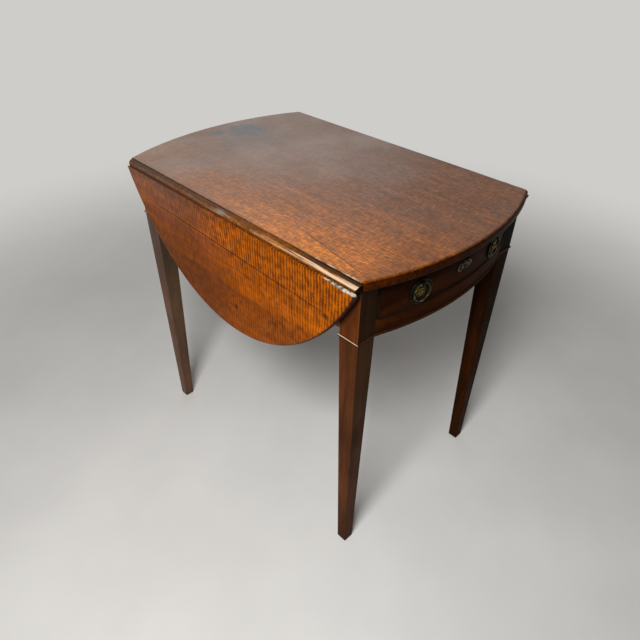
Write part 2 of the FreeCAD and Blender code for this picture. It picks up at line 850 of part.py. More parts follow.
def pull_ring(slack=0.0):
    """The ring, hanging in front of its plate."""
    return Part.makeTorus(pull_ring_radius, pull_wire_radius + slack, Vector(0, -ring_centre(), 0),
                          Vector(0, 1, 0))


def pull_post_hole():
    """The hole for the post through the drawer front."""
    ends = (Vector(0, -overrun, 0), Vector(0, drawer_front_thickness + rear_rail_thickness, 0))
    return rod(pull_post_radius + seat_gap, *ends)


def pull_post(thickness):
    """The post with its domed knob, through the plate and a front of some thickness."""
    knob = pull_knob_radius - pull_post_radius
    tail = thickness + pull_nut_height + seat_gap
    top = pull_boss_height + seat_gap
    points = [(0, -tail), (pull_post_radius, -tail), (pull_post_radius, top), (pull_knob_radius, top),
              (pull_knob_radius, top + pull_knob_height / 2), (knob, top + pull_knob_height),
              (0, top + pull_knob_height)]
    return turned(points)


def pull_nut(thickness):
    """The nut on the post, behind a front of some thickness."""
    start = -thickness - seat_gap
    hole = pull_post_radius + pin_fit
    points = [(hole, start), (pull_nut_radius, start), (pull_nut_radius, start - pull_nut_height),
              (hole, start - pull_nut_height)]
    return turned(points)


def pull_nodes(prefix, thickness, end):
    """The ring pulls of one end: plates, posts and nuts as groups, and each ring by itself."""
    sides = {"left": -1, "right": 1}
    found = {}
    groups = {"plates": pull_plate_piece(), "posts": pull_post(thickness), "nuts": pull_nut(thickness)}
    for name, piece in groups.items():
        pieces = [at_end(at_pull(piece, side), end) for side in sides.values()]
        found[prefix + "_pull_" + name] = Part.makeCompound(pieces)
    for name, side in sides.items():
        found[prefix + "_pull_ring_" + name] = at_end(at_pull(pull_ring(), side), end)
    return found


def leaf_nodes(blank):
    """The leaves and what is screwed to them, hanging, for each side."""
    pieces = {
        "leaf": [raised_leaf(blank)],
        "hinge_leaf_plates": along_joint([hinge_leaf_plate()]),
        "hinge_leaf_screws": along_joint(flap_screws(1, hinge_leaf_flap, 2)),
    }
    found = {}
    for side, name in ((-1, "left"), (1, "right")):
        for kind, solids in pieces.items():
            hanging = [on_side(lowered(solid), side) for solid in solids]
            found[kind + "_" + name] = hanging[0] if len(hanging) == 1 else Part.makeCompound(hanging)
    return found


def frame_nodes():
    """Legs, beads, rails and fly brackets."""
    found = {}
    beads = []
    for end, end_name in ((-1, "front"), (1, "rear")):
        for side, side_name in ((-1, "left"), (1, "right")):
            place = end_name + "_" + side_name
            found["leg_" + place] = at_end(on_side(leg(end), side), end)
            found["fly_bracket_" + place] = at_end(on_side(fly_bracket(), side), -end)
            beads.append(at_end(on_side(leg_bead(), side), end))
    found["leg_beads"] = Part.makeCompound(beads)
    found["front_rail_lower"] = front_rail_lower()
    found["front_rail_upper"] = front_rail_upper()
    found["front_rail_bead"] = rail_bead()
    found["rear_rail"] = at_end(rear_rail(), 1)
    found["rear_rail_bead"] = at_end(rail_bead(), 1)
    found["rear_cock_beads"] = Part.makeCompound([at_end(strip, 1) for strip in cock_beads()])
    found["rear_escutcheon"] = at_end(escutcheon(), 1)
    return found


def side_nodes():
    """What each long side of the frame holds."""
    found = {}
    pins = []
    for side, name in ((-1, "left"), (1, "right")):
        ends = [at_end(outer_rail_end(), end) for end in (-1, 1)]
        found["inner_side_rail_" + name] = on_side(inner_side_rail(), side)
        found["outer_rail_middle_" + name] = on_side(outer_rail_middle(), side)
        found["outer_rail_ends_" + name] = Part.makeCompound([on_side(piece, side) for piece in ends])
        found["drawer_runner_" + name] = on_side(runner(), side)
        found["drawer_guide_" + name] = on_side(guide(), side)
        found["drawer_kicker_" + name] = on_side(kicker(), side)
        pins += [on_side(at_end(fly_pin(), end), side) for end in (-1, 1)]
    found["fly_pins"] = Part.makeCompound(pins)
    found["drawer_stops"] = Part.makeCompound(both_sides(drawer_stop()))
    found["top_screws"] = Part.makeCompound([copy for piece in top_screws() for copy in both_sides(piece)])
    return found


def hinge_nodes():
    """What is fixed to the underside of the top for the leaf hinges."""
    groups = {
        "hinge_top_plates": [hinge_top_plate()],
        "hinge_pins": [hinge_pin()],
        "hinge_top_screws": flap_screws(-1, hinge_top_flap, 1),
    }
    found = {}
    for name, pieces in groups.items():
        solids = [copy for piece in along_joint(pieces) for copy in both_sides(piece)]
        found[name] = Part.makeCompound(solids)
    return found


def drawer_nodes():
    """The drawer and its lock."""
    side = drawer_side()
    return {
        "drawer_front": drawer_front(),
        "drawer_side_right": side,
        "drawer_side_left": on_side(side, -1),
        "drawer_back": back_board(),
        "drawer_bottom": bottom_board(glue_fit),
        "drawer_cock_beads": Part.makeCompound(cock_beads()),
        "drawer_escutcheon": escutcheon(),
        "lock_case": lock_case(),
        "lock_bolt": lock_bolt(),
    }


def table_nodes():
    """Every node of the table by name."""
    blank = oval_blank()
    found = {"top_board": top_board(blank)}
    for group in (leaf_nodes(blank), hinge_nodes(), frame_nodes(), side_nodes(), drawer_nodes(),
                  pull_nodes("drawer", drawer_front_thickness, -1),
                  pull_nodes("rear", rear_rail_thickness, 1)):
        found.update(group)
    return found


os.makedirs("parts", exist_ok=True)
for node, shape in table_nodes().items():
    shape.exportStep("parts/" + node + ".step")
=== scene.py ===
"""Looks of the pembroke table: old mahogany, dry secondary woods, tarnished brass and dull iron.

Metres, in the same frame as the solids: +Z up, the drawer faces -Y, the leaves hang at -X and +X.
A step in a finish says where it starts and ends, and then its values there if these aren't 0 and 1.
A mask is a list of steps that are multiplied, each with the name of the field that it goes along.
Scales count the noise per metre along X, Y and Z. Shades, tints and shares multiply a colour or a mask.
"""
import json
import math
from types import SimpleNamespace as Values

import bpy
from mathutils import Matrix, Vector


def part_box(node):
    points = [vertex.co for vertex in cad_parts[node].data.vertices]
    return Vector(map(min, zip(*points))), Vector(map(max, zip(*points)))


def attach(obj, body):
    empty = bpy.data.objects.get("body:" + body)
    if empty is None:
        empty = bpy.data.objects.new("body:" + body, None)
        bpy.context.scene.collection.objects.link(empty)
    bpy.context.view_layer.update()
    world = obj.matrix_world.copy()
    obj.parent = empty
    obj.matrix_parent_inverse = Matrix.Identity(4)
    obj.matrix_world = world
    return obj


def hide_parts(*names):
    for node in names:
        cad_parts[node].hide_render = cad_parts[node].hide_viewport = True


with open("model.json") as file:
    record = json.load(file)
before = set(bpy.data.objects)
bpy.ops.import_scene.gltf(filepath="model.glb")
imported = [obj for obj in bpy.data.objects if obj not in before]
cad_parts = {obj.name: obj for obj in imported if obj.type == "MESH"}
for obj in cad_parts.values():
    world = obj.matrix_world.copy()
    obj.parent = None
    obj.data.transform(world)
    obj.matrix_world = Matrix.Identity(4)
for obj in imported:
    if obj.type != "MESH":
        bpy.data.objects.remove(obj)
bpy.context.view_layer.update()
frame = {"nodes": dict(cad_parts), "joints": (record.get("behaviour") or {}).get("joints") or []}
nodes = frame["nodes"]
joints = {joint["child"]: joint for joint in frame["joints"]}
joint_axis = Vector(joints["leaf_right"]["pos_m"])
sides = ("left", "right")

# Camera, from the photograph's corners, feet and bowed ends
camera_target = Vector((-0.0029, -0.0095, 0.3377))
camera_azimuth = math.radians(-45.13)
camera_elevation = math.radians(37.43)
camera_roll = math.radians(1.20)
camera_distance = 1.365
camera_lens = 31.03
sensor_width = 36.0

# Light and floor
ambient_light = 0.13
ambient_tone = (1.0, 0.98, 0.95, 1.0)
backdrop_tone = (0.62, 0.61, 0.585, 1.0)
lamps = {
    "key": {"place": (-1.05, -0.62, 1.55), "aim": (-0.15, -0.05, 0.60), "size": (0.5, 0.5), "power": 23.5},
    "back": {"place": (1.10, 1.60, 1.45), "aim": (0.0, 0.1, 0.70), "size": (1.8, 0.7), "power": 3.0},
}
ground = Values(
    size=40.0, tone=(0.88, 0.865, 0.835), fade_step=(0.8, 2.2), cloud_scale=3.0,
    cloud_step=(0.3, 0.7, 0.96, 1.04), bounce_shade=0.6, roughness=0.8, specular=0.1)

# Edges eased by hand, in metres
weld_distance = 0.00001
arris_width = 0.0006
bead_width = 0.0010
sharp_angle = math.radians(35)
round_steps = 3

# Ring pulls, in metres, with counts round the circle
round_count = 144
wire_count = 14
pull_zone = 0.05
plate = Values(
    thickness=0.0014, rim=0.0016, rim_steps=10, hole=0.0023, foot_share=0.3, sunk=0.0003, lip=0.0003,
    rings=12, first_ring=0.0008, ring_step=0.00095, beads=56, bead_depth=0.00022, bead_shares=(1.7, 0.3),
    flutes=24, flute_depth=0.00035, flute_start=0.0108, flute_margin=0.0009)
boss = Values(
    radius=0.0103, sunk=0.0006, bead_place=0.0094, bead_radius=0.0010, bead_degrees=150, bead_steps=7,
    shoulder=((0.0080, 0.0002), (0.0076, 0.0003)), dome_place=(0.0060, 0.0032), dome_radius=0.0014,
    dome_degrees=90, dome_steps=5, crown=((0.0052, 0.0042), (0.0048, 0.0042)), height=0.0046)
eye = Values(
    reach=0.0027, clearance=0.0004, floor=0.0004,
    profile=((-1.0, 0.0038), (-0.8, 0.0043), (-0.45, 0.0040), (0.0, 0.0046), (0.45, 0.0040), (0.8, 0.0043),
             (1.0, 0.0038)))
ring = Values(beads=40, bead_steps=8, plain_share=0.07, waist_share=0.80, swell_share=0.30)
post = Values(
    shank=0.0022, tip_share=0.7, chamfer=0.0004,
    flange=((0.0040, 0.0), (0.0046, 0.0005), (0.0044, 0.0010), (0.0036, 0.0011), (0.0036, 0.0014)),
    dome_degrees=(15, 30, 45, 60, 75, 86))

# Escutcheons, in metres; the profile goes from keyhole to edge, by share of the way and height
plaque = Values(
    thickness=0.0012, lobes=12, lobe_radius=0.0026, keyhole_radius=0.0024, keyhole_half_slot=0.0012,
    keyhole_drop=0.0075, corner_margin=0.0005,
    profile=((0.0, 0.0002), (0.0, 0.0011), (0.10, 0.0016), (0.30, 0.0017), (0.40, 0.0019), (0.46, 0.0017),
             (0.50, 0.0009), (0.62, 0.0007), (0.72, 0.0009), (0.80, 0.0015), (0.90, 0.0017),
             (0.97, 0.0012), (1.0, 0.0005), (1.0, 0.0)))

# Wood colours: dark and light figure, grime that is also painted shade, bare worn wood that is also painted
# highlights, a painted sheen, an ink stain and a filling
top_tones = ((0.155, 0.050, 0.013), (0.41, 0.116, 0.006))
leaf_tones = ((0.23, 0.047, 0.002), (0.43, 0.093, 0.001))
# The frieze: dark mahogany, darker still as painted shade under the top
shaded_frieze_tones = ((0.016, 0.0042, 0.0010), (0.048, 0.0125, 0.0025))
leg_tones = ((0.040, 0.012, 0.004), (0.120, 0.035, 0.009))
# The front right leg's copy of the leg colours, darker as painted shade under the top
shaded_leg_tones = ((0.014, 0.0042, 0.0010), (0.050, 0.0145, 0.0030))
# The rear legs: dust and a painted sheen, paler and greyer than the front legs
dust_and_sheen_leg_tones = ((0.062, 0.026, 0.012), (0.148, 0.061, 0.027))
bead_tones = ((0.016, 0.006, 0.003), (0.060, 0.019, 0.006))
oak_tones = ((0.20, 0.115, 0.055), (0.38, 0.245, 0.130))
pine_tones = ((0.27, 0.150, 0.065), (0.47, 0.300, 0.150))
beech_tones = ((0.19, 0.098, 0.045), (0.36, 0.205, 0.105))
gold_tone = (0.54, 0.128, 0.001)
# Grime, also used as painted shade in corners, in the joints' steps and on the cock beads
grime_and_shade_tone = (0.016, 0.008, 0.004)
# Cock beads near black: a painted shadow line round the drawer
shaded_cock_bead_tones = ((0.004, 0.002, 0.001), grime_and_shade_tone)
# Pale worn wood, also a painted highlight on the joints' rounds, the rim's foot and the legs' beads
worn_and_highlight_tone = (0.61, 0.44, 0.29)
# Bare chipped wood, light and dark; the light one also paints a highlight along the joints' arris
bare_and_highlight_tones = ((0.62, 0.58, 0.49), (0.14, 0.13, 0.10))
# A painted sheen: the pale room as the polish reflects it
painted_sheen_tone = (0.228, 0.146, 0.108)
stain_tone = (0.095, 0.103, 0.110)
filler_tone = (0.24, 0.23, 0.17)

# Metal colours: dark, light and rubbed bright
plate_brass_tones = ((0.004, 0.0032, 0.002), (0.010, 0.0078, 0.0045), (0.040, 0.032, 0.018))
ring_brass_tones = ((0.010, 0.0075, 0.0035), (0.035, 0.026, 0.011), (0.19, 0.145, 0.060))
boss_brass_tones = ((0.026, 0.0165, 0.0035), (0.090, 0.058, 0.010), (0.20, 0.132, 0.026))
cast_brass_tones = ((0.004, 0.0032, 0.002), (0.014, 0.0105, 0.005), (0.21, 0.160, 0.075))
hollow_brass_tone = (0.005, 0.004, 0.003)
iron_tones = ((0.055, 0.050, 0.046), (0.115, 0.055, 0.028))

# Noise, its detail, edges and corners, as every finish has them
noise_middle = 0.5
plain, medium, fine, finer, finest = 1.0, 2.0, 3.0, 4.0, 5.0
edge_samples = 4
edge_step = (0.01, 0.16)
crevice_samples = 6
crevice_step = (0.35, 0.95, 1.0, 0.0)
polish_bump = (0.00030, 0.5)
dry_bump = (0.00050, 0.8)
brass_bump = (0.0002, 0.4)
iron_bump = (0.0003, 0.5)

# Grain along X: its wandering, stripes, fibres and pores
grain = Values(
    shift=7.0, wander_scales=(2.5, 7.0, 7.0), wander=0.05, stripe_scales=(1.6, 36.0, 36.0), stripe_bend=0.4,
    stripe_step=(0.22, 0.78), fibre_scales=(16.0, 330.0, 330.0), fibre_step=(0.25, 0.75, 0.80, 1.20),
    fibre_height=0.4, pore_scales=(75.0, 1500.0, 1500.0), pore_step=(0.54, 0.70, 1.0, 0.70),
    pore_depth_step=(0.56, 0.68, 0.0, 0.6))

# Bars of figure across the grain, old polish, lines and patches
ripple_span = (0.36, 0.64)
ripple_bend = 0.5
bar = Values(
    period=0.0068, waver_scales=(0.0, 9.0, 9.0), waver=3.0, break_scales=(0.0, 80.0, 75.0), break_swing=6.5,
    step=(-1.0, 1.3))
age = Values(
    edge_scale=28.0, edge_reach=0.0016, edge_span=(0.42, 0.62), edge_shade=2.6, corner_reach=0.012,
    mottle_span=(0.30, 0.70), polish_scale=9.0, polish_span=(0.32, 0.68))
line = Values(wobble_scale=14.0, core_share=0.4, start_step=(0.0, 0.08), end_step=(0.92, 1.0, 1.0, 0.0))
blot_scale = 40.0

# The rule joints, by distance out from the hinge axis, over it and over the top's face
rule = Values(
    near_share=0.88, rub_scales=(420.0, 13.0, 420.0), rub_near=0.20, chip_scales=(60.0, 55.0, 60.0),
    # The step and the round's top: grime and painted shade, stronger towards the near end
    hollow=[("out", -0.0022, -0.0010), ("out", 0.0066, 0.0046), ("near", 0.3, 0.9, 0.55, 0.92)],
    round=[("out", 0.0050, 0.0068)],
    # Painted shade at the round's foot by the gap to the leaf, deeper at the near end
    round_shade=[("over_axis", 0.0058, 0.0036, 0.72, 0.36), ("near", 0.3, 0.9, 0.80, 0.62)],
    # The joints' end faces: end grain, darkened further as painted shade
    end_grain=[("out", -0.0022, -0.0010), ("endways", 0.4, 0.7)], end_shade=0.12,
    # A pale rubbed band on the round: wear and a painted highlight
    rubbed=[("out", 0.0050, 0.0068), ("near", 0.0, 1.0, 0.40, 0.95), ("over_axis", 0.0030, 0.0052),
            ("streaks", 0.54, 0.76), ("endways", 0.4, 0.7, 1.0, 0.0)],
    # A thin pale line along the step's arris at the near end: chips and a painted highlight
    arris=[("out", -0.0022, -0.0010), ("over_face", -0.0009, -0.0004), ("chips", 0.40, 0.58, 0.15, 1.0),
           ("near", 0.6, 1.0, 0.05, 0.95)],
    filler_out=0.006, filler_along=0.006, filler_down=0.007, filler=((1.0, 0.35, 1.0), 0.001, 0.007),
    filler_share=0.55)

# The top; a stain has its place, its stretch, and how far it is full and goes at all
top = Values(
    patch_scales=(9.0, 4.0, 9.0), patch_swing=0.20, dark_step=(-0.26, 0.06),
    grain_tones=((0.82, 0.80, 0.76), (1.16, 1.17, 1.20)),
    ripples=(((70.0, 310.0, 70.0), 0.73, 1.25), ((420.0, 75.0, 420.0), 0.64, 1.30),
             ((85.0, 6.0, 85.0), 0.88, 1.10), ((26.0, 120.0, 26.0), 0.92, 1.08)),
    seam_slope=-0.175, strip=[("seam", -0.168, -0.172), ("y", 0.06, -0.10)], strip_tint=(1.18, 1.20, 1.0),
    pale=[("x", -0.02, 0.06), ("y", -0.08, -0.16, 0.0, 0.20)],
    # Darker by the near corner's front edge
    grimy=[("y", -0.285, -0.350), ("x", -0.05, -0.18)], grimy_tint=(0.56, 0.52, 0.44),
    # A painted sheen at the far end of the top, patchy and stronger to the right
    haze_ripples=((50.0, 260.0, 50.0), 0.86, 1.12), haze_shade=[("x", -0.17, 0.06, 0.97, 1.36)],
    cloud_scale=5.0, haze=[("y", -0.24, 0.24, 0.0, 0.82), ("cloud", 0.30, 0.68, 0.55, 1.0)],
    spread=((0.030, 0.255), (1.0, 1.2, 1.0), 0.030, 0.130), spread_share=0.38,
    stains=(((0.050, 0.312), (1.0, 0.95, 1.0), 0.028, 0.054),
            ((-0.010, 0.340), (0.9, 1.5, 1.0), 0.006, 0.036)),
    stain_share=0.86, seam_start=(-0.1974, -0.16), seam_end=(-0.229, -0.341), seam_width=0.0013,
    seam_share=0.75, arris=[("up", 0.66, 0.88, 0.0, 0.30), ("up", 0.985, 0.998, 1.0, 0.0)],
    # The round of the bowed ends: painted shade, lighter towards the near joint as painted light
    rim=[("up", 0.96, 0.62), ("out", -0.0010, -0.0022)], rim_tint=(1.0, 0.78, 0.5),
    rim_shade=[("x", -0.24, -0.02, 1.0, 0.55), ("up", 0.1, 0.6, 0.21, 0.12)],
    # A pale line at the rim's foot by the near joint: wear and a painted highlight
    thin_scale=34.0, foot=[("over_foot", 0.0030, 0.0018), ("up", -0.5, -0.2), ("x", -0.10, -0.18),
                           ("thin", 0.46, 0.60, 0.0, 0.45)],
    under=[("up", -0.6, -0.9)], under_shade=0.55, grime_share=0.25, wear_share=0.15,
    scratch_scales=(900.0, 14.0, 20.0), scratch_bend=1.5, scratch_step=(0.66, 0.74, 0.0, 0.35),
    roughness=(0.34, 0.46), shine=[("up", 0.90, 0.99, 0.02, 0.5)])

# The leaves; near goes from 0 at the far end to 1 at the drawer end, depth is down from the joint
leaf = Values(
    mottle=(6.0, 0.80, 1.16), ripples=((60.0, 300.0, 60.0), 0.80, 1.20), ragged_scales=(0.0, 9.0, 14.0),
    ragged_swing=0.16, bar_reach=[("near", 0.0, 1.0, 0.050, 0.115)], faint=[("near", 0.30, 0.80, 0.20, 0.55)],
    band_span=(1.15, 0.35), bar_shades=(0.55, 1.40), glow_shade=1.35,
    glow=[("edge", 0.075, 0.100), ("edge", 0.140, 0.115), ("near", 0.50, 0.75)],
    lower_shade=[("depth", 0.02, 0.15, 1.25, 0.58), ("depth", 0.0, 0.04, 0.62, 1.0)],
    # Greyer at the far end and a painted sheen by the far joint
    rear=[("near", 0.65, 0.05)], rear_tint=(0.96, 1.20, 11.0),
    haze=[("near", 0.55, 0.0, 0.0, 0.40), ("depth", 0.10, 0.0)], middle=0.5,
    end_shade=[("near", 0.55, 0.85, 1.0, 0.90), ("from_middle", 0.0, 0.4, 1.0, 0.96)],
    crack_start=(0.245, 0.648), crack_end=(-0.285, 0.632), crack_across=(0.0, -0.030, 1.0),
    crack_width=0.0015, crack_share=0.85,
    knots=(((-0.028, 0.516), (1.0, 1.4, 0.8), 0.001, 0.008),
           ((-0.276, 0.627), (1.0, 0.8, 1.6), 0.002, 0.014)),
    knot_share=0.75, rounded=[("sideways", 0.62, 0.95, 0.86, 0.0), ("depth", 0.004, 0.009)],
    chip_scales=(120.0, 46.0, 120.0), chip_swing=0.008, chip_along=(0.97, 0.72), chip_down=(0.0044, -0.0018),
    chipped=[("past_chip", -0.0004, 0.0006, 1.0, 0.0)], chip_share=0.9, chip_depth=1.5, bare_scale=150.0,
    bare_step=(0.42, 0.60), hidden=[("inward", 0.6, 0.9)], hidden_shade=0.5, grime_share=0.5,
    wear_share=0.15, roughness=(0.40, 0.54), specular=0.05)

# Frieze, legs, beads and dry wood
frieze = Values(
    mottle=(7.0, 0.72, 1.2), grime_share=0.8, wear_share=0.4, roughness=(0.38, 0.55), specular=0.01)
cock_bead = Values(roughness=(0.5, 0.6), specular=0.03)
leg = Values(
    # Faces towards the table's ends darker as painted shade
    foot_span=(0.0, 0.5), endways=[("endways", 0.5, 0.85), ("z", 0.05, 0.45)],
    endways_tint=(0.62, 0.80, 0.70), sideways=[("sideways", 0.5, 0.85)], head_margin=0.002,
    # The head: grime and painted shade on its end faces, painted light on its sides
    head_shade=0.42, clean_tint=(1.6, 1.42, 0.95))
bead = Values(
    # Pale on the beads' upper sides: wear and a painted highlight
    thin_scale=90.0, rubbed=[("sideways", 0.45, 0.65), ("up", 0.0, 0.4), ("thin", 0.30, 0.55, 0.55, 0.95)],
    roughness=(0.40, 0.55), specular=0.05)
dry = Values(mottle=(9.0, 0.66, 1.12), grime_share=0.65, wear_share=0.2, roughness=(0.68, 0.86), specular=0.3)

# Metals
brass = Values(
    patch_scale=190.0, patch_step=(0.34, 0.66), speck_scale=900.0, speck_step=(0.3, 0.7, 0.7, 1.2),
    speck_height=0.5, hollow_reach=0.0035, hollow_share=0.96, proud_step=(0.22, 0.03), rub_span=(0.70, 0.86),
    rub_shift=0.4, rub_shares=(0.12, 1.0), rough_step=(0.3, 0.7, 0.52, 0.38), specular=0.1, metallic=0.85)
cast = Values(
    patch_scale=260.0, outline=[("reach", 0.76, 0.80), ("reach", 0.90, 0.86)],
    eyelet=[("reach", 0.36, 0.40), ("reach", 0.48, 0.44)], rub_step=(0.32, 0.58, 0.25, 1.0))
iron = Values(
    patch_scale=130.0, patch_step=(0.36, 0.62), speck_scale=800.0, speck_step=(0.3, 0.7, 0.75, 1.2),
    rough_step=(0.3, 0.7, 0.5, 0.75), specular=0.5, metallic=0.6)


class Nodes:
    """A node tree, with short calls for the nodes that are used here."""

    def __init__(self, tree):
        self.tree = tree
        self.fields = {}

    def add(self, kind, **settings):
        node = self.tree.nodes.new(kind)
        for key, value in settings.items():
            setattr(node, key, value)
        return node

    def feed(self, socket, value):
        """Links an output to a socket, or sets the socket's constant."""
        if isinstance(value, bpy.types.NodeSocket):
            self.tree.links.new(value, socket)
        elif isinstance(value, tuple) and len(value) == 3 and socket.type == "RGBA":
            socket.default_value = (*value, 1.0)
        else:
            socket.default_value = value

    def math(self, operation, first, second=0.0):
        node = self.add("ShaderNodeMath", operation=operation)
        self.feed(node.inputs[0], first)
        self.feed(node.inputs[1], second)
        return node.outputs[0]

    def plus(self, first, second):
        return self.math("ADD", first, second)

    def minus(self, first, second):
        return self.math("SUBTRACT", first, second)

    def size(self, value):
        return self.math("ABSOLUTE", value)

    def times(self, first, *others):
        for other in others:
            first = self.math("MULTIPLY", first, other)
        return first

    def vector(self, operation, first, second=(0.0, 0.0, 0.0)):
        node = self.add("ShaderNodeVectorMath", operation=operation)
        self.feed(node.inputs[0], first)
        self.feed(node.inputs[1], second)
        return node.outputs["Value" if operation in ("DOT_PRODUCT", "DISTANCE") else "Vector"]

    def ramp(self, value, low, high, start=0.0, end=1.0):
        """A smooth step from start to end as the value goes from low to high."""
        node = self.add("ShaderNodeMapRange", interpolation_type="SMOOTHSTEP")
        for socket, amount in zip(node.inputs, (value, low, high, start, end)):
            self.feed(socket, amount)
        return node.outputs[0]

    def mask(self, steps):
        """The product of smooth steps along named fields."""
        return self.times(*[self.ramp(self.fields[name], *step) for name, *step in steps])

    def seen(self):
        """1 where the camera sees this, straight or mirrored, and 0 where it only lights the table."""
        light = self.add("ShaderNodeLightPath").outputs
        mirrored = self.math("MAXIMUM", light["Is Glossy Ray"], light["Is Transmission Ray"])
        return self.math("MAXIMUM", light["Is Camera Ray"], mirrored)

    def blend(self, factor, first, second, output):
        """Mixes two shaders into the tree's output."""
        both = self.add("ShaderNodeMixShader")
        self.feed(both.inputs[0], factor)
        self.feed(both.inputs[1], first.outputs[0])
        self.feed(both.inputs[2], second.outputs[0])
        self.feed(self.tree.nodes[output].inputs["Surface"], both.outputs[0])


class Finish(Nodes):
    """A material's node tree."""

    def __init__(self, name):
        self.material = bpy.data.materials.new(name)
        self.material.use_nodes = True
        super().__init__(self.material.node_tree)
        self.surface = self.tree.nodes["Principled BSDF"]

    def noise(self, vector, scales, detail=fine, distortion=0.0):
        """Noise on coordinates that are stretched by three scales, about 0.5 in the middle."""
        node = self.add("ShaderNodeTexNoise")
        self.feed(node.inputs["Vector"], self.vector("MULTIPLY", vector, scales))
        node.inputs["Scale"].default_value = 1.0
        node.inputs["Detail"].default_value = detail
        node.inputs["Distortion"].default_value = distortion
        return node.outputs[0]

    def patches(self, scale, detail=fine):
        """Noise with one scale along every axis of the piece."""
        return self.noise(self.place(), (scale, scale, scale), detail)

    def swing(self, noise, amount):
        """A noise moved to swing about 0, times an amount."""
        return self.times(self.minus(noise, noise_middle), amount)

    def mix(self, factor, first, second, blend="MIX"):
        node = self.add("ShaderNodeMix", data_type="RGBA", blend_type=blend)
        self.feed(node.inputs[0], factor)
        self.feed(node.inputs[6], first)
        self.feed(node.inputs[7], second)
        return node.outputs[2]

    def tint(self, color, other):
        """The colour times another colour."""
        return self.mix(1.0, color, other, "MULTIPLY")

    def shade(self, color, amount):
        """The colour times a number."""
        return self.tint(color, self.combine(amount, amount, amount))

    def combine(self, x, y, z):
        node = self.add("ShaderNodeCombineXYZ")
        for socket, value in zip(node.inputs, (x, y, z)):
            self.feed(socket, value)
        return node.outputs[0]

    def split(self, vector):
        node = self.add("ShaderNodeSeparateXYZ")
        self.feed(node.inputs[0], vector)
        return node.outputs

    def place(self):
        """Where a point lies on the piece at rest."""
        return self.add("ShaderNodeTexCoord").outputs["Object"]

    def facing(self):
        """Which way the surface faces on the piece at rest."""
        return self.add("ShaderNodeTexCoord").outputs["Normal"]

    def edges(self, radius):
        """A mask of the piece's edges within a radius."""
        bevel = self.add("ShaderNodeBevel", samples=edge_samples)
        bevel.inputs["Radius"].default_value = radius
        normal = self.add("ShaderNodeNewGeometry").outputs["Normal"]
        return self.ramp(self.minus(1.0, self.vector("DOT_PRODUCT", bevel.outputs[0], normal)), *edge_step)

    def crevices(self, distance):
        """A mask of the corners and gaps between pieces."""
        node = self.add("ShaderNodeAmbientOcclusion", samples=crevice_samples)
        node.inputs["Distance"].default_value = distance
        return self.ramp(node.outputs["AO"], *crevice_step)

    def grain(self, axis):
        """Coordinates with X along the grain, shifted from piece to piece."""
        x, y, z = self.split(self.place())
        ordered = {"X": (x, y, z), "Y": (y, x, z), "Z": (z, x, y)}[axis]
        shift = self.times(self.add("ShaderNodeObjectInfo").outputs["Random"], grain.shift)
        return self.vector("ADD", self.combine(*ordered), self.combine(shift, shift, shift))

    def bump(self, height, distance, strength):
        node = self.add("ShaderNodeBump")
        node.inputs["Strength"].default_value = strength
        node.inputs["Distance"].default_value = distance
        self.feed(node.inputs["Height"], height)
        self.feed(self.surface.inputs["Normal"], node.outputs[0])

    def done(self, color, roughness, specular, metallic=0.0):
        self.feed(self.surface.inputs["Base Color"], color)
        self.feed(self.surface.inputs["Roughness"], roughness)
        self.feed(self.surface.inputs["Specular IOR Level"], specular)
        self.surface.inputs["Metallic"].default_value = metallic
        return self.material


# Woods

def figured(finish, axis, tones):
    """The colour and the height of a figured wood, with its grain along an axis."""
    lines = finish.grain(axis)
    shift = finish.swing(finish.noise(lines, grain.wander_scales, medium), grain.wander)
    lines = finish.vector("ADD", lines, finish.combine(0.0, shift, shift))
    stripe = finish.noise(lines, grain.stripe_scales, fine, grain.stripe_bend)
    fibre = finish.noise(lines, grain.fibre_scales)
    pore = finish.noise(lines, grain.pore_scales, plain)
    color = finish.mix(finish.ramp(stripe, *grain.stripe_step), *tones)
    color = finish.shade(color, finish.ramp(fibre, *grain.fibre_step))
    color = finish.shade(color, finish.ramp(pore, *grain.pore_step))
    height = finish.times(fibre, grain.fibre_height)
    return color, finish.minus(height, finish.ramp(pore, *grain.pore_depth_step))


def ripples(finish, scales, low, high):
    """Short broken bars of light and dark across the grain, as a number about 1."""
    return finish.ramp(finish.noise(finish.place(), scales, medium, ripple_bend), *ripple_span, low, high)


def fiddleback(finish):
    """Bars across the grain that waver and break, from 0 to 1."""
    waver = finish.times(finish.noise(finish.place(), bar.waver_scales, medium), bar.waver)
    turns = finish.plus(finish.math("DIVIDE", finish.fields["y"], bar.period), waver)
    wave = finish.math("SINE", finish.times(turns, 2 * math.pi))
    broken = finish.swing(finish.noise(finish.place(), bar.break_scales), bar.break_swing)
    return finish.ramp(finish.plus(wave, broken), *bar.step)


def aged(finish, color, values):
    """Grime and painted shade in the corners, and polish rubbed thin along the edges."""
    patch = finish.ramp(finish.patches(age.edge_scale), *age.edge_span, 0.0, values.wear_share)
    rubbed = finish.times(finish.edges(age.edge_reach), patch)
    color = finish.mix(rubbed, color, finish.shade(color, age.edge_shade))
    # Corners and gaps: grime and painted shade
    return finish.mix(finish.times(finish.crevices(age.corner_reach), values.grime_share), color, grime_and_shade_tone)


def mottled(finish, color, scale, low, high):
    """Broad lighter and darker patches."""
    return finish.shade(color, finish.ramp(finish.patches(scale), *age.mottle_span, low, high))


def polished_roughness(finish, values):
    """Worn polish: glossier and duller patches."""
    return finish.ramp(finish.patches(age.polish_scale, finer), *age.polish_span, *values.roughness)


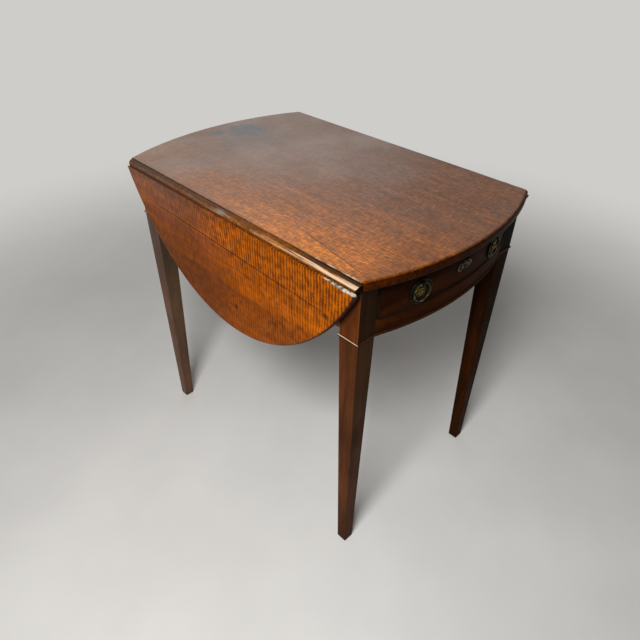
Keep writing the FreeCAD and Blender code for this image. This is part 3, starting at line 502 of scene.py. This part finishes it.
def streak(finish, start, end, across, width):
    """A mask of a thin straight line between two places, fading at its ends."""
    along = Vector(end) - Vector(start)
    relative = finish.vector("SUBTRACT", finish.place(), start)
    wobble = finish.swing(finish.patches(line.wobble_scale, plain), width)
    side = finish.vector("DOT_PRODUCT", relative, tuple(Vector(across).normalized()))
    near = finish.ramp(finish.size(finish.plus(side, wobble)), width * line.core_share, width, 1.0, 0.0)
    share = finish.vector("DOT_PRODUCT", relative, tuple(along / along.length_squared))
    return finish.times(near, finish.ramp(share, *line.start_step), finish.ramp(share, *line.end_step))


def blot(finish, centre, stretch, inner, outer):
    """A mask of a soft ragged patch about a place; stretch shortens it along each axis."""
    relative = finish.vector("MULTIPLY", finish.vector("SUBTRACT", finish.place(), centre), stretch)
    ragged = finish.swing(finish.patches(blot_scale), outer)
    return finish.ramp(finish.plus(finish.vector("DISTANCE", relative), ragged), inner, outer, 1.0, 0.0)


def joint_wear(finish, color, face):
    """The rule joints: a dark step of grime and painted shade, painted shade at the round's foot and on the
    end grain, a rubbed round and a chipped arris at the near end that also stand for painted highlights, and
    an old filling.
    """
    streaks = finish.times(finish.fields["near"], rule.rub_near)
    finish.fields["streaks"] = finish.plus(finish.noise(finish.place(), rule.rub_scales), streaks)
    finish.fields["chips"] = finish.noise(finish.place(), rule.chip_scales)
    # The step: grime and painted shade
    color = finish.mix(finish.mask(rule.hollow), color, grime_and_shade_tone)
    # The round's foot: painted shade by the gap
    shaded = finish.shade(color, finish.mask(rule.round_shade))
    color = finish.mix(finish.mask(rule.round), color, shaded)
    # End faces: end grain and painted shade
    color = finish.mix(finish.mask(rule.end_grain), color, finish.shade(color, rule.end_shade))
    # The round: rubbed wood and a painted highlight
    color = finish.mix(finish.mask(rule.rubbed), color, worn_and_highlight_tone)
    # The arris: chipped bare wood and a painted highlight
    color = finish.mix(finish.mask(rule.arris), color, bare_and_highlight_tones[0])
    place = (-joint_axis.x - rule.filler_out, rule.filler_along, face - rule.filler_down)
    filler = blot(finish, place, *rule.filler)
    return finish.mix(finish.times(filler, rule.filler_share), color, filler_tone)


def top_figure(finish):
    """The top's wood: orange by the near joint, with a lighter strip there, and darker beyond."""
    dark, light = top_tones
    patch = finish.swing(finish.noise(finish.place(), top.patch_scales), top.patch_swing)
    tone = finish.mix(finish.ramp(finish.plus(finish.fields["x"], patch), *top.dark_step), light, dark)
    color, height = figured(finish, "Y", top.grain_tones)
    color = finish.tint(tone, color)
    for bars in top.ripples:
        color = finish.shade(color, ripples(finish, *bars))
    return finish.mix(finish.mask(top.strip), color, finish.tint(color, top.strip_tint)), height


def top_tone_and_sheen(finish, color):
    """The top's tone: paler at the drawer end, darker by the near corner's front edge, and a painted sheen at
    the far end.
    """
    color = finish.shade(color, finish.plus(finish.mask(top.pale), 1.0))
    color = finish.mix(finish.mask(top.grimy), color, finish.tint(color, top.grimy_tint))
    # The far end: a painted sheen, the pale room as the polish reflects it
    sheen_color = finish.shade(painted_sheen_tone, ripples(finish, *top.haze_ripples))
    sheen_color = finish.shade(sheen_color, finish.mask(top.haze_shade))
    return finish.mix(finish.mask(top.haze), color, sheen_color)


def top_marks(finish, color, face):
    """An ink stain at the far end of the top, and an open seam by the near joint."""
    spread, *stains = [blot(finish, (*place, face), *shape) for place, *shape in (top.spread, *top.stains)]
    color = finish.mix(finish.times(spread, top.spread_share), color, stain_tone)
    stain = finish.math("MAXIMUM", *stains)
    color = finish.mix(finish.times(stain, top.stain_share), color, stain_tone)
    across = (1.0, top.seam_slope, 0.0)
    seam = streak(finish, (*top.seam_start, face), (*top.seam_end, face), across, top.seam_width)
    return finish.mix(finish.times(seam, top.seam_share), color, grime_and_shade_tone)


def top_rim(finish, color):
    """The rounded edge of the bowed ends: a grimy line at its top, painted shade over the round, lighter
    towards the near joint as painted light, and a pale line at its foot by the near joint that is wear and a
    painted highlight.
    """
    color = finish.mix(finish.mask(top.arris), color, grime_and_shade_tone)
    # The rim: painted shade, lighter towards the near joint as painted light
    rim = finish.mask(top.rim)
    edge = finish.tint(finish.shade(color, finish.mask(top.rim_shade)), top.rim_tint)
    color = finish.mix(rim, color, edge)
    # The rim's foot: a pale line of wear and a painted highlight
    return finish.mix(finish.times(finish.mask(top.foot), rim), color, worn_and_highlight_tone)


def top_wood():
    """The fixed top, with its rule joints, its rounded ends and a dull underside."""
    finish = Finish("mahogany_top")
    low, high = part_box("top_board")
    x, y, z = finish.split(finish.place())
    facing = finish.split(finish.facing())
    finish.fields = {
        "x": x, "y": y, "up": facing[2], "endways": finish.size(facing[1]),
        "out": finish.minus(finish.size(x), joint_axis.x), "over_axis": finish.minus(z, joint_axis.z),
        "over_face": finish.minus(z, high.z), "over_foot": finish.minus(z, low.z),
        "near": finish.ramp(y, low.y * rule.near_share, 0.0, 1.0, 0.0),
        "seam": finish.plus(x, finish.times(y, top.seam_slope)),
        "cloud": finish.patches(top.cloud_scale), "thin": finish.patches(top.thin_scale),
    }
    color, height = top_figure(finish)
    color = top_marks(finish, top_tone_and_sheen(finish, color), high.z)
    color = joint_wear(finish, top_rim(finish, color), high.z)
    color = finish.mix(finish.mask(top.under), color, finish.shade(color, top.under_shade))
    color = aged(finish, color, top)
    scratch = finish.noise(finish.place(), top.scratch_scales, plain, top.scratch_bend)
    finish.bump(finish.minus(height, finish.ramp(scratch, *top.scratch_step)), *polish_bump)
    return finish.done(color, polished_roughness(finish, top), finish.mask(top.shine))


def leaf_figure(finish, color):
    """A leaf's fiddleback: bold bars from the joint to a ragged edge, faint ones below, a pale band."""
    share = finish.math("DIVIDE", finish.fields["edge"], finish.mask(leaf.bar_reach))
    band = finish.ramp(share, *leaf.band_span, finish.mask(leaf.faint), 1.0)
    dark, light = [finish.shade(color, shade) for shade in leaf.bar_shades]
    bars = finish.mix(fiddleback(finish), dark, finish.mix(finish.fields["near"], light, gold_tone))
    color = finish.mix(band, color, bars)
    return finish.mix(finish.mask(leaf.glow), color, finish.shade(color, leaf.glow_shade))


def leaf_tone_and_sheen(finish, color):
    """A leaf's tone: darker towards its lower edge at the far end, greyer at the far end, and a painted sheen
    by the far joint.
    """
    color = finish.mix(finish.fields["near"], finish.shade(color, finish.mask(leaf.lower_shade)), color)
    # Greyer at the far end and a painted sheen by the far joint
    color = finish.mix(finish.mask(leaf.rear), color, finish.tint(color, leaf.rear_tint))
    color = finish.mix(finish.mask(leaf.haze), color, painted_sheen_tone)
    return finish.shade(color, finish.mask(leaf.end_shade))


def leaf_marks(finish, color, face):
    """A crack along a leaf, a knot and a dark patch."""
    ends = (face, *leaf.crack_start), (face, *leaf.crack_end)
    crack = streak(finish, *ends, leaf.crack_across, leaf.crack_width)
    color = finish.mix(finish.times(crack, leaf.crack_share), color, grime_and_shade_tone)
    knots = [blot(finish, (face, *place), *shape) for place, *shape in leaf.knots]
    return finish.mix(finish.times(finish.math("MAXIMUM", *knots), leaf.knot_share), color, grime_and_shade_tone)


def leaf_wood(side):
    """A drop leaf: fiddleback bars from its joint down, and the joint's edge chipped at the near end."""
    finish = Finish("mahogany_leaf_" + side)
    color, height = figured(finish, "Y", leaf_tones)
    low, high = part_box("leaf_" + side)
    x, y, z = finish.split(finish.place())
    outward = finish.split(finish.facing())[0]
    near = finish.ramp(y, low.y, high.y, 1.0, 0.0)
    depth = finish.minus(high.z, z)
    ragged = finish.swing(finish.noise(finish.place(), leaf.ragged_scales), leaf.ragged_swing)
    chip_ends = [low.y * share for share in leaf.chip_along]
    chips = finish.swing(finish.noise(finish.place(), leaf.chip_scales, finer), leaf.chip_swing)
    chip_reach = finish.plus(finish.ramp(y, *chip_ends, *leaf.chip_down), chips)
    finish.fields = {
        "y": y, "near": near, "depth": depth, "edge": finish.plus(depth, ragged),
        "from_middle": finish.size(finish.minus(near, leaf.middle)), "sideways": finish.size(outward),
        "inward": finish.times(outward, 1.0 if side == "left" else -1.0),
        "past_chip": finish.minus(depth, chip_reach),
    }
    color = finish.shade(mottled(finish, color, *leaf.mottle), ripples(finish, *leaf.ripples))
    color = leaf_tone_and_sheen(finish, leaf_figure(finish, color))
    if side == "left":
        color = leaf_marks(finish, color, low.x)
    color = finish.mix(finish.mask(leaf.rounded), color, grime_and_shade_tone)
    chipped = finish.mask(leaf.chipped)
    bare = finish.mix(finish.ramp(finish.patches(leaf.bare_scale), *leaf.bare_step), *bare_and_highlight_tones)
    color = finish.mix(finish.times(chipped, leaf.chip_share), color, bare)
    color = finish.mix(finish.mask(leaf.hidden), color, finish.shade(color, leaf.hidden_shade))
    color = aged(finish, color, leaf)
    finish.bump(finish.minus(height, finish.times(chipped, leaf.chip_depth)), *polish_bump)
    return finish.done(color, polished_roughness(finish, leaf), leaf.specular)


def carcase_wood(name, tones, polish=frieze):
    """Polished mahogany of the frieze and its beads."""
    finish = Finish(name)
    color, height = figured(finish, "X", tones)
    color = aged(finish, mottled(finish, color, *frieze.mottle), frieze)
    finish.bump(height, *polish_bump)
    return finish.done(color, polished_roughness(finish, polish), polish.specular)


def leg_wood(name, tones, specular, foot_shade):
    """Polished mahogany of a leg: its faces towards the table's ends darker as painted shade, its head darker
    there with grime and painted shade and lighter at its sides behind the leaves as painted light.
    """
    finish = Finish(name)
    color, height = figured(finish, "Z", tones)
    color = mottled(finish, color, *frieze.mottle)
    z = finish.split(finish.place())[2]
    facing = finish.split(finish.facing())
    finish.fields = {"z": z, "sideways": finish.size(facing[0]), "endways": finish.size(facing[1])}
    color = finish.shade(color, finish.ramp(z, *leg.foot_span, foot_shade, 1.0))
    # Painted shade on the faces towards the table's ends
    color = finish.mix(finish.mask(leg.endways), color, finish.tint(color, leg.endways_tint))
    # The head: grime and painted shade on its end faces, painted light on its sides
    lit_sides = finish.tint(color, leg.clean_tint)
    head = finish.mix(finish.mask(leg.sideways), finish.shade(color, leg.head_shade), lit_sides)
    low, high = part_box("leg_beads")
    on_head = finish.ramp(z, low.z - leg.head_margin, high.z + leg.head_margin)
    color = aged(finish, finish.mix(on_head, color, head), frieze)
    finish.bump(height, *polish_bump)
    return finish.done(color, polished_roughness(finish, frieze), specular)


def bead_wood():
    """The legs' small beads: dark, with bare wood where the leaves have rubbed them, which also stands for a
    painted highlight on their upper sides.
    """
    finish = Finish("mahogany_bead")
    color, height = figured(finish, "X", bead_tones)
    facing = finish.split(finish.facing())
    finish.fields = {
        "sideways": finish.size(facing[0]), "up": facing[2], "thin": finish.patches(bead.thin_scale)}
    # The beads' sides: wear and a painted highlight
    color = finish.mix(finish.mask(bead.rubbed), color, worn_and_highlight_tone)
    finish.bump(height, *polish_bump)
    return finish.done(color, polished_roughness(finish, bead), bead.specular)


def dry_wood(name, axis, tones):
    """Unpolished wood out of sight, dull and dusty."""
    finish = Finish(name)
    color, height = figured(finish, axis, tones)
    color = aged(finish, mottled(finish, color, *dry.mottle), dry)
    finish.bump(height, *dry_bump)
    return finish.done(color, polished_roughness(finish, dry), dry.specular)


# Metals

def brass_finish(name, tones, bare_share):
    """Old brass: brown-black in its hollows, rubbed bright on a share of what stands proud."""
    finish = Finish(name)
    dark, light, bright = tones
    patch = finish.patches(brass.patch_scale, finer)
    speck = finish.patches(brass.speck_scale, medium)
    color = finish.mix(finish.ramp(patch, *brass.patch_step), dark, light)
    color = finish.shade(color, finish.ramp(speck, *brass.speck_step))
    hollow = finish.crevices(brass.hollow_reach)
    rub_span = [limit - brass.rub_shift * bare_share for limit in brass.rub_span]
    rubbed = finish.ramp(patch, *rub_span, *brass.rub_shares)
    color = finish.mix(finish.times(finish.ramp(hollow, *brass.proud_step), rubbed), color, bright)
    color = finish.mix(finish.times(hollow, brass.hollow_share), color, hollow_brass_tone)
    finish.bump(finish.plus(patch, finish.times(speck, brass.speck_height)), *brass_bump)
    return finish.done(color, finish.ramp(patch, *brass.rough_step), brass.specular, brass.metallic)


def cast_finish(node):
    """The escutcheons' brass: black fields, rubbed bright along an oval outline and round the keyhole."""
    finish = Finish("cast_brass")
    dark, light, bright = cast_brass_tones
    low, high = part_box(node)
    middle = (low + high) / 2
    half = (high - low) / 2
    place = finish.split(finish.place())
    across = finish.math("DIVIDE", place[0], half.x)
    up = finish.math("DIVIDE", finish.minus(place[2], middle.z), half.z)
    squares = finish.plus(finish.times(across, across), finish.times(up, up))
    finish.fields["reach"] = finish.math("SQRT", squares)
    proud = finish.math("MAXIMUM", finish.mask(cast.outline), finish.mask(cast.eyelet))
    patch = finish.patches(cast.patch_scale)
    color = finish.mix(finish.ramp(patch, *brass.patch_step), dark, light)
    color = finish.mix(finish.times(proud, finish.ramp(patch, *cast.rub_step)), color, bright)
    finish.bump(patch, *brass_bump)
    return finish.done(color, finish.ramp(patch, *brass.rough_step), brass.specular, brass.metallic)


def iron_finish():
    """Dull iron with brown rust."""
    finish = Finish("dull_iron")
    patch = finish.patches(iron.patch_scale, finest)
    speck = finish.patches(iron.speck_scale, medium)
    color = finish.mix(finish.ramp(patch, *iron.patch_step), *iron_tones)
    color = finish.shade(color, finish.ramp(speck, *iron.speck_step))
    finish.bump(finish.plus(patch, speck), *iron_bump)
    return finish.done(color, finish.ramp(patch, *iron.rough_step), iron.specular, iron.metallic)


# Meshes

def grid_piece(name, rings, close_ends=False):
    """A mesh through rings of points; the last ring joins the first, or both get a middle point."""
    count = len(rings[0])
    points = [point for row in rings for point in row]
    faces = []
    last = len(rings) - 1 if close_ends else len(rings)
    for row in range(last):
        below = row * count
        above = (row + 1) % len(rings) * count
        for step in range(count):
            beyond = (step + 1) % count
            faces.append((below + step, below + beyond, above + beyond, above + step))
    if close_ends:
        for start, flip in ((0, True), (last * count, False)):
            points.append(sum((Vector(points[start + step]) for step in range(count)), Vector()) / count)
            for step in range(count):
                beyond = (step + 1) % count
                pair = (start + beyond, start + step) if flip else (start + step, start + beyond)
                faces.append((*pair, len(points) - 1))
    mesh = bpy.data.meshes.new(name)
    mesh.from_pydata([tuple(point) for point in points], [], faces)
    mesh.shade_smooth()
    piece = bpy.data.objects.new(name, mesh)
    bpy.context.scene.collection.objects.link(piece)
    return piece


def joined(name, pieces):
    """Several meshes as one piece."""
    bpy.ops.object.select_all(action="DESELECT")
    for piece in pieces:
        piece.select_set(True)
    bpy.context.view_layer.objects.active = pieces[0]
    bpy.ops.object.join()
    pieces[0].name = name
    return pieces[0]


def dressed(piece, body, slot, material, *stood_for):
    """A new piece on its body, in the place of solids of the frame."""
    piece.data.materials.clear()
    piece.data.materials.append(material)
    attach(piece, body)
    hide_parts(*stood_for)


def circle(count):
    """The angles of equal steps round a circle."""
    return [2 * math.pi * step / count for step in range(count)]


def arc(centre, radius, degrees, steps):
    """Points of a profile round an arc, from the radius axis to a number of degrees."""
    turns = [math.radians(degrees * step / steps) for step in range(steps + 1)]
    return [(centre[0] + radius * math.cos(turn), centre[1] + radius * math.sin(turn)) for turn in turns]


class Pull:
    """One ring pull's place: its hinge, its own axes and the sizes of its solids."""

    def __init__(self, prefix, side):
        self.prefix = prefix
        self.ring_node = prefix + "_pull_ring_" + side
        joint = joints[prefix + "_ring_" + side]
        self.across = Vector(joint["axis"]).normalized()
        self.up = Vector((0.0, 0.0, 1.0))
        self.out = self.up.cross(self.across)
        self.hinge = Vector(joint["pos_m"])
        back, front = self.span(self.ring_node)
        self.wire = (front - back) / 2
        low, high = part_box(self.ring_node)
        self.ring = (high.z - low.z) / 2 - self.wire
        low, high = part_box(prefix + "_pull_plates")
        self.plate = (high.z - low.z) / 2
        self.field = self.plate - 2 * plate.rim
        self.centre = self.hinge - self.up * self.ring
        self.back = self.span(prefix + "_pull_plates")[0]

    def span(self, node):
        """The least and greatest distance out from the hinge that a node has at this pull."""
        away = [point.co - self.hinge for point in nodes[node].data.vertices]
        outs = [offset.dot(self.out) for offset in away if abs(offset.dot(self.across)) < pull_zone]
        return min(outs), max(outs)

    def point(self, across, out, up):
        """A point in the pull's own axes, with out measured from the back of its plate."""
        return self.centre + self.across * across + self.out * (self.back + out) + self.up * up

    def turned(self, profile, relief=None):
        """Rings round the pull's axis through (radius, out) points."""
        rings = []
        for radius, out in profile:
            points = []
            for turn in circle(round_count):
                lift = relief(radius, turn) if relief else 0.0
                points.append(self.point(radius * math.cos(turn), out + lift, radius * math.sin(turn)))
            rings.append(points)
        return rings


def plate_profile(pull):
    """The turned back plate: a rounded rim and a sunk field."""
    sunk = plate.thickness - plate.sunk
    first = pull.field - plate.first_ring
    return [(plate.hole, 0.0), (pull.plate - plate.rim * plate.foot_share, 0.0),
            *arc((pull.plate - plate.rim, plate.thickness), plate.rim, 180, plate.rim_steps),
            (pull.field - plate.lip, sunk),
            *[(first - plate.ring_step * count, sunk) for count in range(plate.rings)], (plate.hole, sunk)]


def plate_relief(pull):
    """Flutes in the sunk field and beads on the rim."""
    flute_width = pull.field - plate.flute_start - plate.flute_margin
    inner, outer = [pull.plate - share * plate.rim for share in plate.bead_shares]

    def relief(radius, turn):
        if plate.flute_start < radius < pull.field - plate.flute_margin:
            share = (radius - plate.flute_start) / flute_width
            return plate.flute_depth * math.sin(math.pi * share) * math.cos(plate.flutes * turn)
        if inner < radius < outer:
            return plate.bead_depth * math.cos(plate.beads * turn)
        return 0.0

    return relief


def boss_profile():
    """The stepped boss round the post, on the plate's field."""
    foot = plate.thickness - boss.sunk
    return [(plate.hole, foot), (boss.radius, foot),
            *arc((boss.bead_place, plate.thickness), boss.bead_radius, boss.bead_degrees, boss.bead_steps),
            *[(radius, plate.thickness + lift) for radius, lift in boss.shoulder],
            *arc(boss.dome_place, boss.dome_radius, boss.dome_degrees, boss.dome_steps),
            *boss.crown, (plate.hole, boss.height)]


def eye_rings(pull):
    """The barrel that the ring turns in, at the top of the plate."""
    bore = pull.wire + eye.clearance
    outer = [(eye.reach * share, radius) for share, radius in eye.profile]
    inner = [(eye.reach, bore), (0.0, bore), (-eye.reach, bore)]
    rings = []
    for along, radius in outer + inner:
        points = []
        for turn in circle(2 * wire_count):
            out = max(radius * math.cos(turn) - pull.back, eye.floor)
            points.append(pull.point(along, out, pull.ring + radius * math.sin(turn)))
        rings.append(points)
    return rings


def ring_rings(pull):
    """The hanging ring: a row of beads, plain where it turns in its barrel."""
    rings = []
    for turn in circle(ring.beads * ring.bead_steps):
        from_top = min(turn, 2 * math.pi - turn) / (2 * math.pi)
        swell = math.sqrt(abs(math.sin(ring.beads * turn / 2)))
        beaded = from_top > ring.plain_share
        radius = pull.wire * (ring.waist_share + ring.swell_share * swell) if beaded else pull.wire
        points = []
        for angle in circle(wire_count):
            reach = pull.ring + radius * math.cos(angle)
            out = radius * math.sin(angle) - pull.back
            points.append(pull.point(reach * math.sin(turn), out, reach * math.cos(turn)))
        rings.append(points)
    return rings


def post_rings(pull):
    """The post with its domed knob, as long as its solid."""
    back, front = [out - pull.back for out in pull.span(pull.prefix + "_pull_posts")]
    dome_radius, neck = post.flange[-1]
    foot = boss.height + neck
    profile = [(post.shank * post.tip_share, back), (post.shank, back + post.chamfer),
               (post.shank, boss.height), *[(radius, boss.height + lift) for radius, lift in post.flange]]
    for degrees in post.dome_degrees:
        turn = math.radians(degrees)
        profile.append((dome_radius * math.cos(turn), foot + (front - foot) * math.sin(turn)))
    return pull.turned(profile)


def fit_pulls(prefix, body):
    """The ring pulls of one end."""
    plates, posts = [], []
    for side in sides:
        pull = Pull(prefix, side)
        plates.append(grid_piece("plate", pull.turned(plate_profile(pull), plate_relief(pull))))
        plates.append(grid_piece("eye", eye_rings(pull)))
        posts.append(grid_piece("post", post_rings(pull), True))
        posts.append(grid_piece("boss", pull.turned(boss_profile())))
        beaded = grid_piece(prefix + "_ring_beaded_" + side, ring_rings(pull))
        dressed(beaded, prefix + "_ring_" + side, "brass", ring_brass, pull.ring_node)
    dressed(joined(prefix + "_back_plates", plates), body, "brass", dark_brass, prefix + "_pull_plates")
    dressed(joined(prefix + "_knobs", posts), body, "brass", boss_brass, prefix + "_pull_posts")


def bow_radius():
    """The radius of the bowed drawer front, from its solid."""
    low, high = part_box("drawer_front")
    edge = high.x - plaque.corner_margin
    corner = min(point.co.y for point in nodes["drawer_front"].data.vertices if point.co.x > edge)
    bow = corner - low.y
    return (high.x ** 2 + bow ** 2) / (2 * bow)


def keyhole_reach(turn):
    """How far the keyhole's edge is from the middle of its round part."""
    across, up = abs(math.cos(turn)), math.sin(turn)
    if up >= 0:
        return plaque.keyhole_radius
    reach = plaque.keyhole_drop / -up
    if across > 0:
        reach = min(reach, plaque.keyhole_half_slot / across)
    return max(plaque.keyhole_radius, reach)


def lobed_reach(turn, half_width, half_height):
    """How far the escutcheon's lobed edge is from its middle."""
    away = Vector((math.cos(turn), math.sin(turn)))
    reach = 1 / math.sqrt((away.x / half_width) ** 2 + (away.y / half_height) ** 2)
    for angle in circle(plaque.lobes):
        middle = Vector((half_width * math.cos(angle), half_height * math.sin(angle)))
        along = middle.dot(away)
        gap = plaque.lobe_radius ** 2 - (middle.length_squared - along ** 2)
        if gap > 0:
            reach = max(reach, along + math.sqrt(gap))
    return reach


def fit_escutcheon(node, body):
    """A cast escutcheon: lobes round the edge, a sunk field and an oval rim round the keyhole."""
    low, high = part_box(node)
    middle = (low + high) / 2
    half_width = (high.x - low.x) / 2 - plaque.lobe_radius
    half_height = (high.z - low.z) / 2 - plaque.lobe_radius
    end = -1.0 if middle.y < 0 else 1.0
    crest = low.y if end < 0 else high.y
    radius = bow_radius()
    rings = []
    for share, lift in plaque.profile:
        points = []
        for turn in circle(2 * round_count):
            inner = keyhole_reach(turn)
            reach = inner + (lobed_reach(turn, half_width, half_height) - inner) * share
            x = reach * math.cos(turn)
            face = crest - end * (plaque.thickness + radius - math.sqrt(radius ** 2 - x ** 2))
            points.append(Vector((-end * x, face + end * lift, middle.z + reach * math.sin(turn))))
        rings.append(points)
    dressed(grid_piece(node + "_cast", rings), body, "brass", cast_brass, node)


def eased(node, width):
    """Rounds the sharp edges of a solid by a hand plane's width."""
    weld = nodes[node].modifiers.new("weld", "WELD")
    weld.merge_threshold = weld_distance
    bevel = nodes[node].modifiers.new("arris", "BEVEL")
    bevel.width = width
    bevel.segments = round_steps
    bevel.limit_method = "ANGLE"
    bevel.angle_limit = sharp_angle
    bevel.harden_normals = False


def paint(material, *names):
    """Gives a finish to solids of the frame."""
    for name in names:
        nodes[name].data.materials.clear()
        nodes[name].data.materials.append(material)


# Stage

def make_floor():
    """A wide pale floor that keeps the shadow near the table and goes over to the backdrop's tone."""
    finish = Finish("pale_floor")
    cloud = finish.ramp(finish.patches(ground.cloud_scale, finer), *ground.cloud_step)
    color = finish.shade(ground.tone, cloud)
    seen = finish.seen()
    color = finish.mix(seen, finish.shade(color, ground.bounce_shade), color)
    finish.done(color, ground.roughness, ground.specular)
    away = finish.ramp(finish.vector("DISTANCE", finish.place()), *ground.fade_step)
    glow = finish.add("ShaderNodeEmission")
    glow.inputs["Color"].default_value = backdrop_tone
    finish.blend(finish.times(seen, away), finish.surface, glow, "Material Output")
    half = ground.size / 2
    corners = [(-half, -half, 0), (half, -half, 0), (half, half, 0), (-half, half, 0)]
    mesh = bpy.data.meshes.new("floor")
    mesh.from_pydata(corners, [], [(0, 1, 2, 3)])
    mesh.materials.append(finish.material)
    floor = bpy.data.objects.new("floor", mesh)
    bpy.context.scene.collection.objects.link(floor)


def make_world():
    """A plain pale room: soft light on the table, the backdrop's tone where it shows or is reflected."""
    world = bpy.data.worlds.new("room")
    world.use_nodes = True
    room = Nodes(world.node_tree)
    soft = room.tree.nodes["Background"]
    soft.inputs["Color"].default_value = ambient_tone
    soft.inputs["Strength"].default_value = ambient_light
    pale = room.add("ShaderNodeBackground")
    pale.inputs["Color"].default_value = backdrop_tone
    room.blend(room.seen(), soft, pale, "World Output")
    bpy.context.scene.world = world


def make_lamps():
    """Soft boxes: one at the near left, and a weak one behind the table."""
    for name, lamp in lamps.items():
        light = bpy.data.lights.new(name, "AREA")
        light.shape = "RECTANGLE"
        light.size, light.size_y = lamp["size"]
        light.energy = lamp["power"]
        holder = bpy.data.objects.new(name, light)
        away = Vector(lamp["place"]) - Vector(lamp["aim"])
        turned = away.to_track_quat("Z", "Y").to_matrix().to_4x4()
        holder.matrix_world = Matrix.Translation(lamp["place"]) @ turned
        holder.visible_camera = False
        bpy.context.scene.collection.objects.link(holder)


def make_camera():
    """The photograph's viewpoint."""
    level = math.cos(camera_elevation)
    back = Vector((math.sin(camera_azimuth) * level, -math.cos(camera_azimuth) * level,
                   math.sin(camera_elevation)))
    right = Vector((0.0, 0.0, 1.0)).cross(back).normalized()
    up = back.cross(right)
    tilted = right * math.cos(camera_roll) + up * math.sin(camera_roll)
    data = bpy.data.cameras.new("camera")
    data.lens = camera_lens
    data.sensor_width = sensor_width
    camera = bpy.data.objects.new("camera", data)
    axes = Matrix((tilted, back.cross(tilted), back)).transposed().to_4x4()
    camera.matrix_world = Matrix.Translation(camera_target + back * camera_distance) @ axes
    bpy.context.scene.collection.objects.link(camera)
    bpy.context.scene.camera = camera


def both(*prefixes):
    """The names of nodes that there are at the left and at the right."""
    return [prefix + side for prefix in prefixes for side in sides]


legs = both("leg_front_", "leg_rear_")
brackets = both("fly_bracket_front_", "fly_bracket_rear_")

paint(top_wood(), "top_board")
for side in sides:
    paint(leaf_wood(side), "leaf_" + side)
paint(leg_wood("mahogany_leg", leg_tones, specular=0.03, foot_shade=1.35), "leg_front_left")
# The front right leg: a darker copy, painted shade
paint(leg_wood("mahogany_leg_shaded", shaded_leg_tones, specular=0.01, foot_shade=0.95), "leg_front_right")
# The rear legs: dust and a painted sheen
paint(leg_wood("mahogany_leg_dust_and_sheen", dust_and_sheen_leg_tones, specular=0.3, foot_shade=1.3), *both("leg_rear_"))
# The frieze's colour holds painted shade
paint(carcase_wood("mahogany_frieze", shaded_frieze_tones), "front_rail_lower", "rear_rail", "drawer_front")
# The cock beads: a painted shadow line
paint(carcase_wood("mahogany_cock_bead", shaded_cock_bead_tones, cock_bead), "drawer_cock_beads", "rear_cock_beads")
paint(bead_wood(), "leg_beads")
paint(carcase_wood("mahogany_rail_bead", bead_tones), "front_rail_bead", "rear_rail_bead")
paint(dry_wood("oak_along", "Y", oak_tones),
      *both("drawer_side_", "drawer_runner_", "drawer_guide_", "drawer_kicker_"))
paint(dry_wood("oak_across", "X", oak_tones),
      "front_rail_upper", "drawer_back", "drawer_bottom", "drawer_stops")
paint(dry_wood("pine", "Y", pine_tones), *both("inner_side_rail_"))
paint(dry_wood("beech", "Y", beech_tones), *brackets, *both("outer_rail_middle_", "outer_rail_ends_"))
dark_brass = brass_finish("tarnished_brass", plate_brass_tones, bare_share=0.4)
cast_brass = cast_finish("drawer_escutcheon")
ring_brass = brass_finish("ring_brass", ring_brass_tones, bare_share=0.5)
boss_brass = brass_finish("boss_brass", boss_brass_tones, bare_share=0.6)
paint(dark_brass, "lock_case", "drawer_pull_nuts", "rear_pull_nuts")
paint(iron_finish(), "lock_bolt", "hinge_top_plates", "hinge_pins", "hinge_top_screws", "top_screws",
      "fly_pins", *both("hinge_leaf_plates_", "hinge_leaf_screws_"))

rails = ("front_rail_lower", "front_rail_upper", "rear_rail", "drawer_front", "drawer_back")
for node in (*legs, *brackets, *rails):
    eased(node, arris_width)
for node in ("drawer_cock_beads", "rear_cock_beads"):
    eased(node, bead_width)

fit_pulls("drawer", "drawer")
fit_pulls("rear", "frame")
fit_escutcheon("drawer_escutcheon", "drawer")
fit_escutcheon("rear_escutcheon", "frame")

make_floor()
make_world()
make_lamps()
make_camera()
bpy.context.scene.view_settings.view_transform = "Standard"
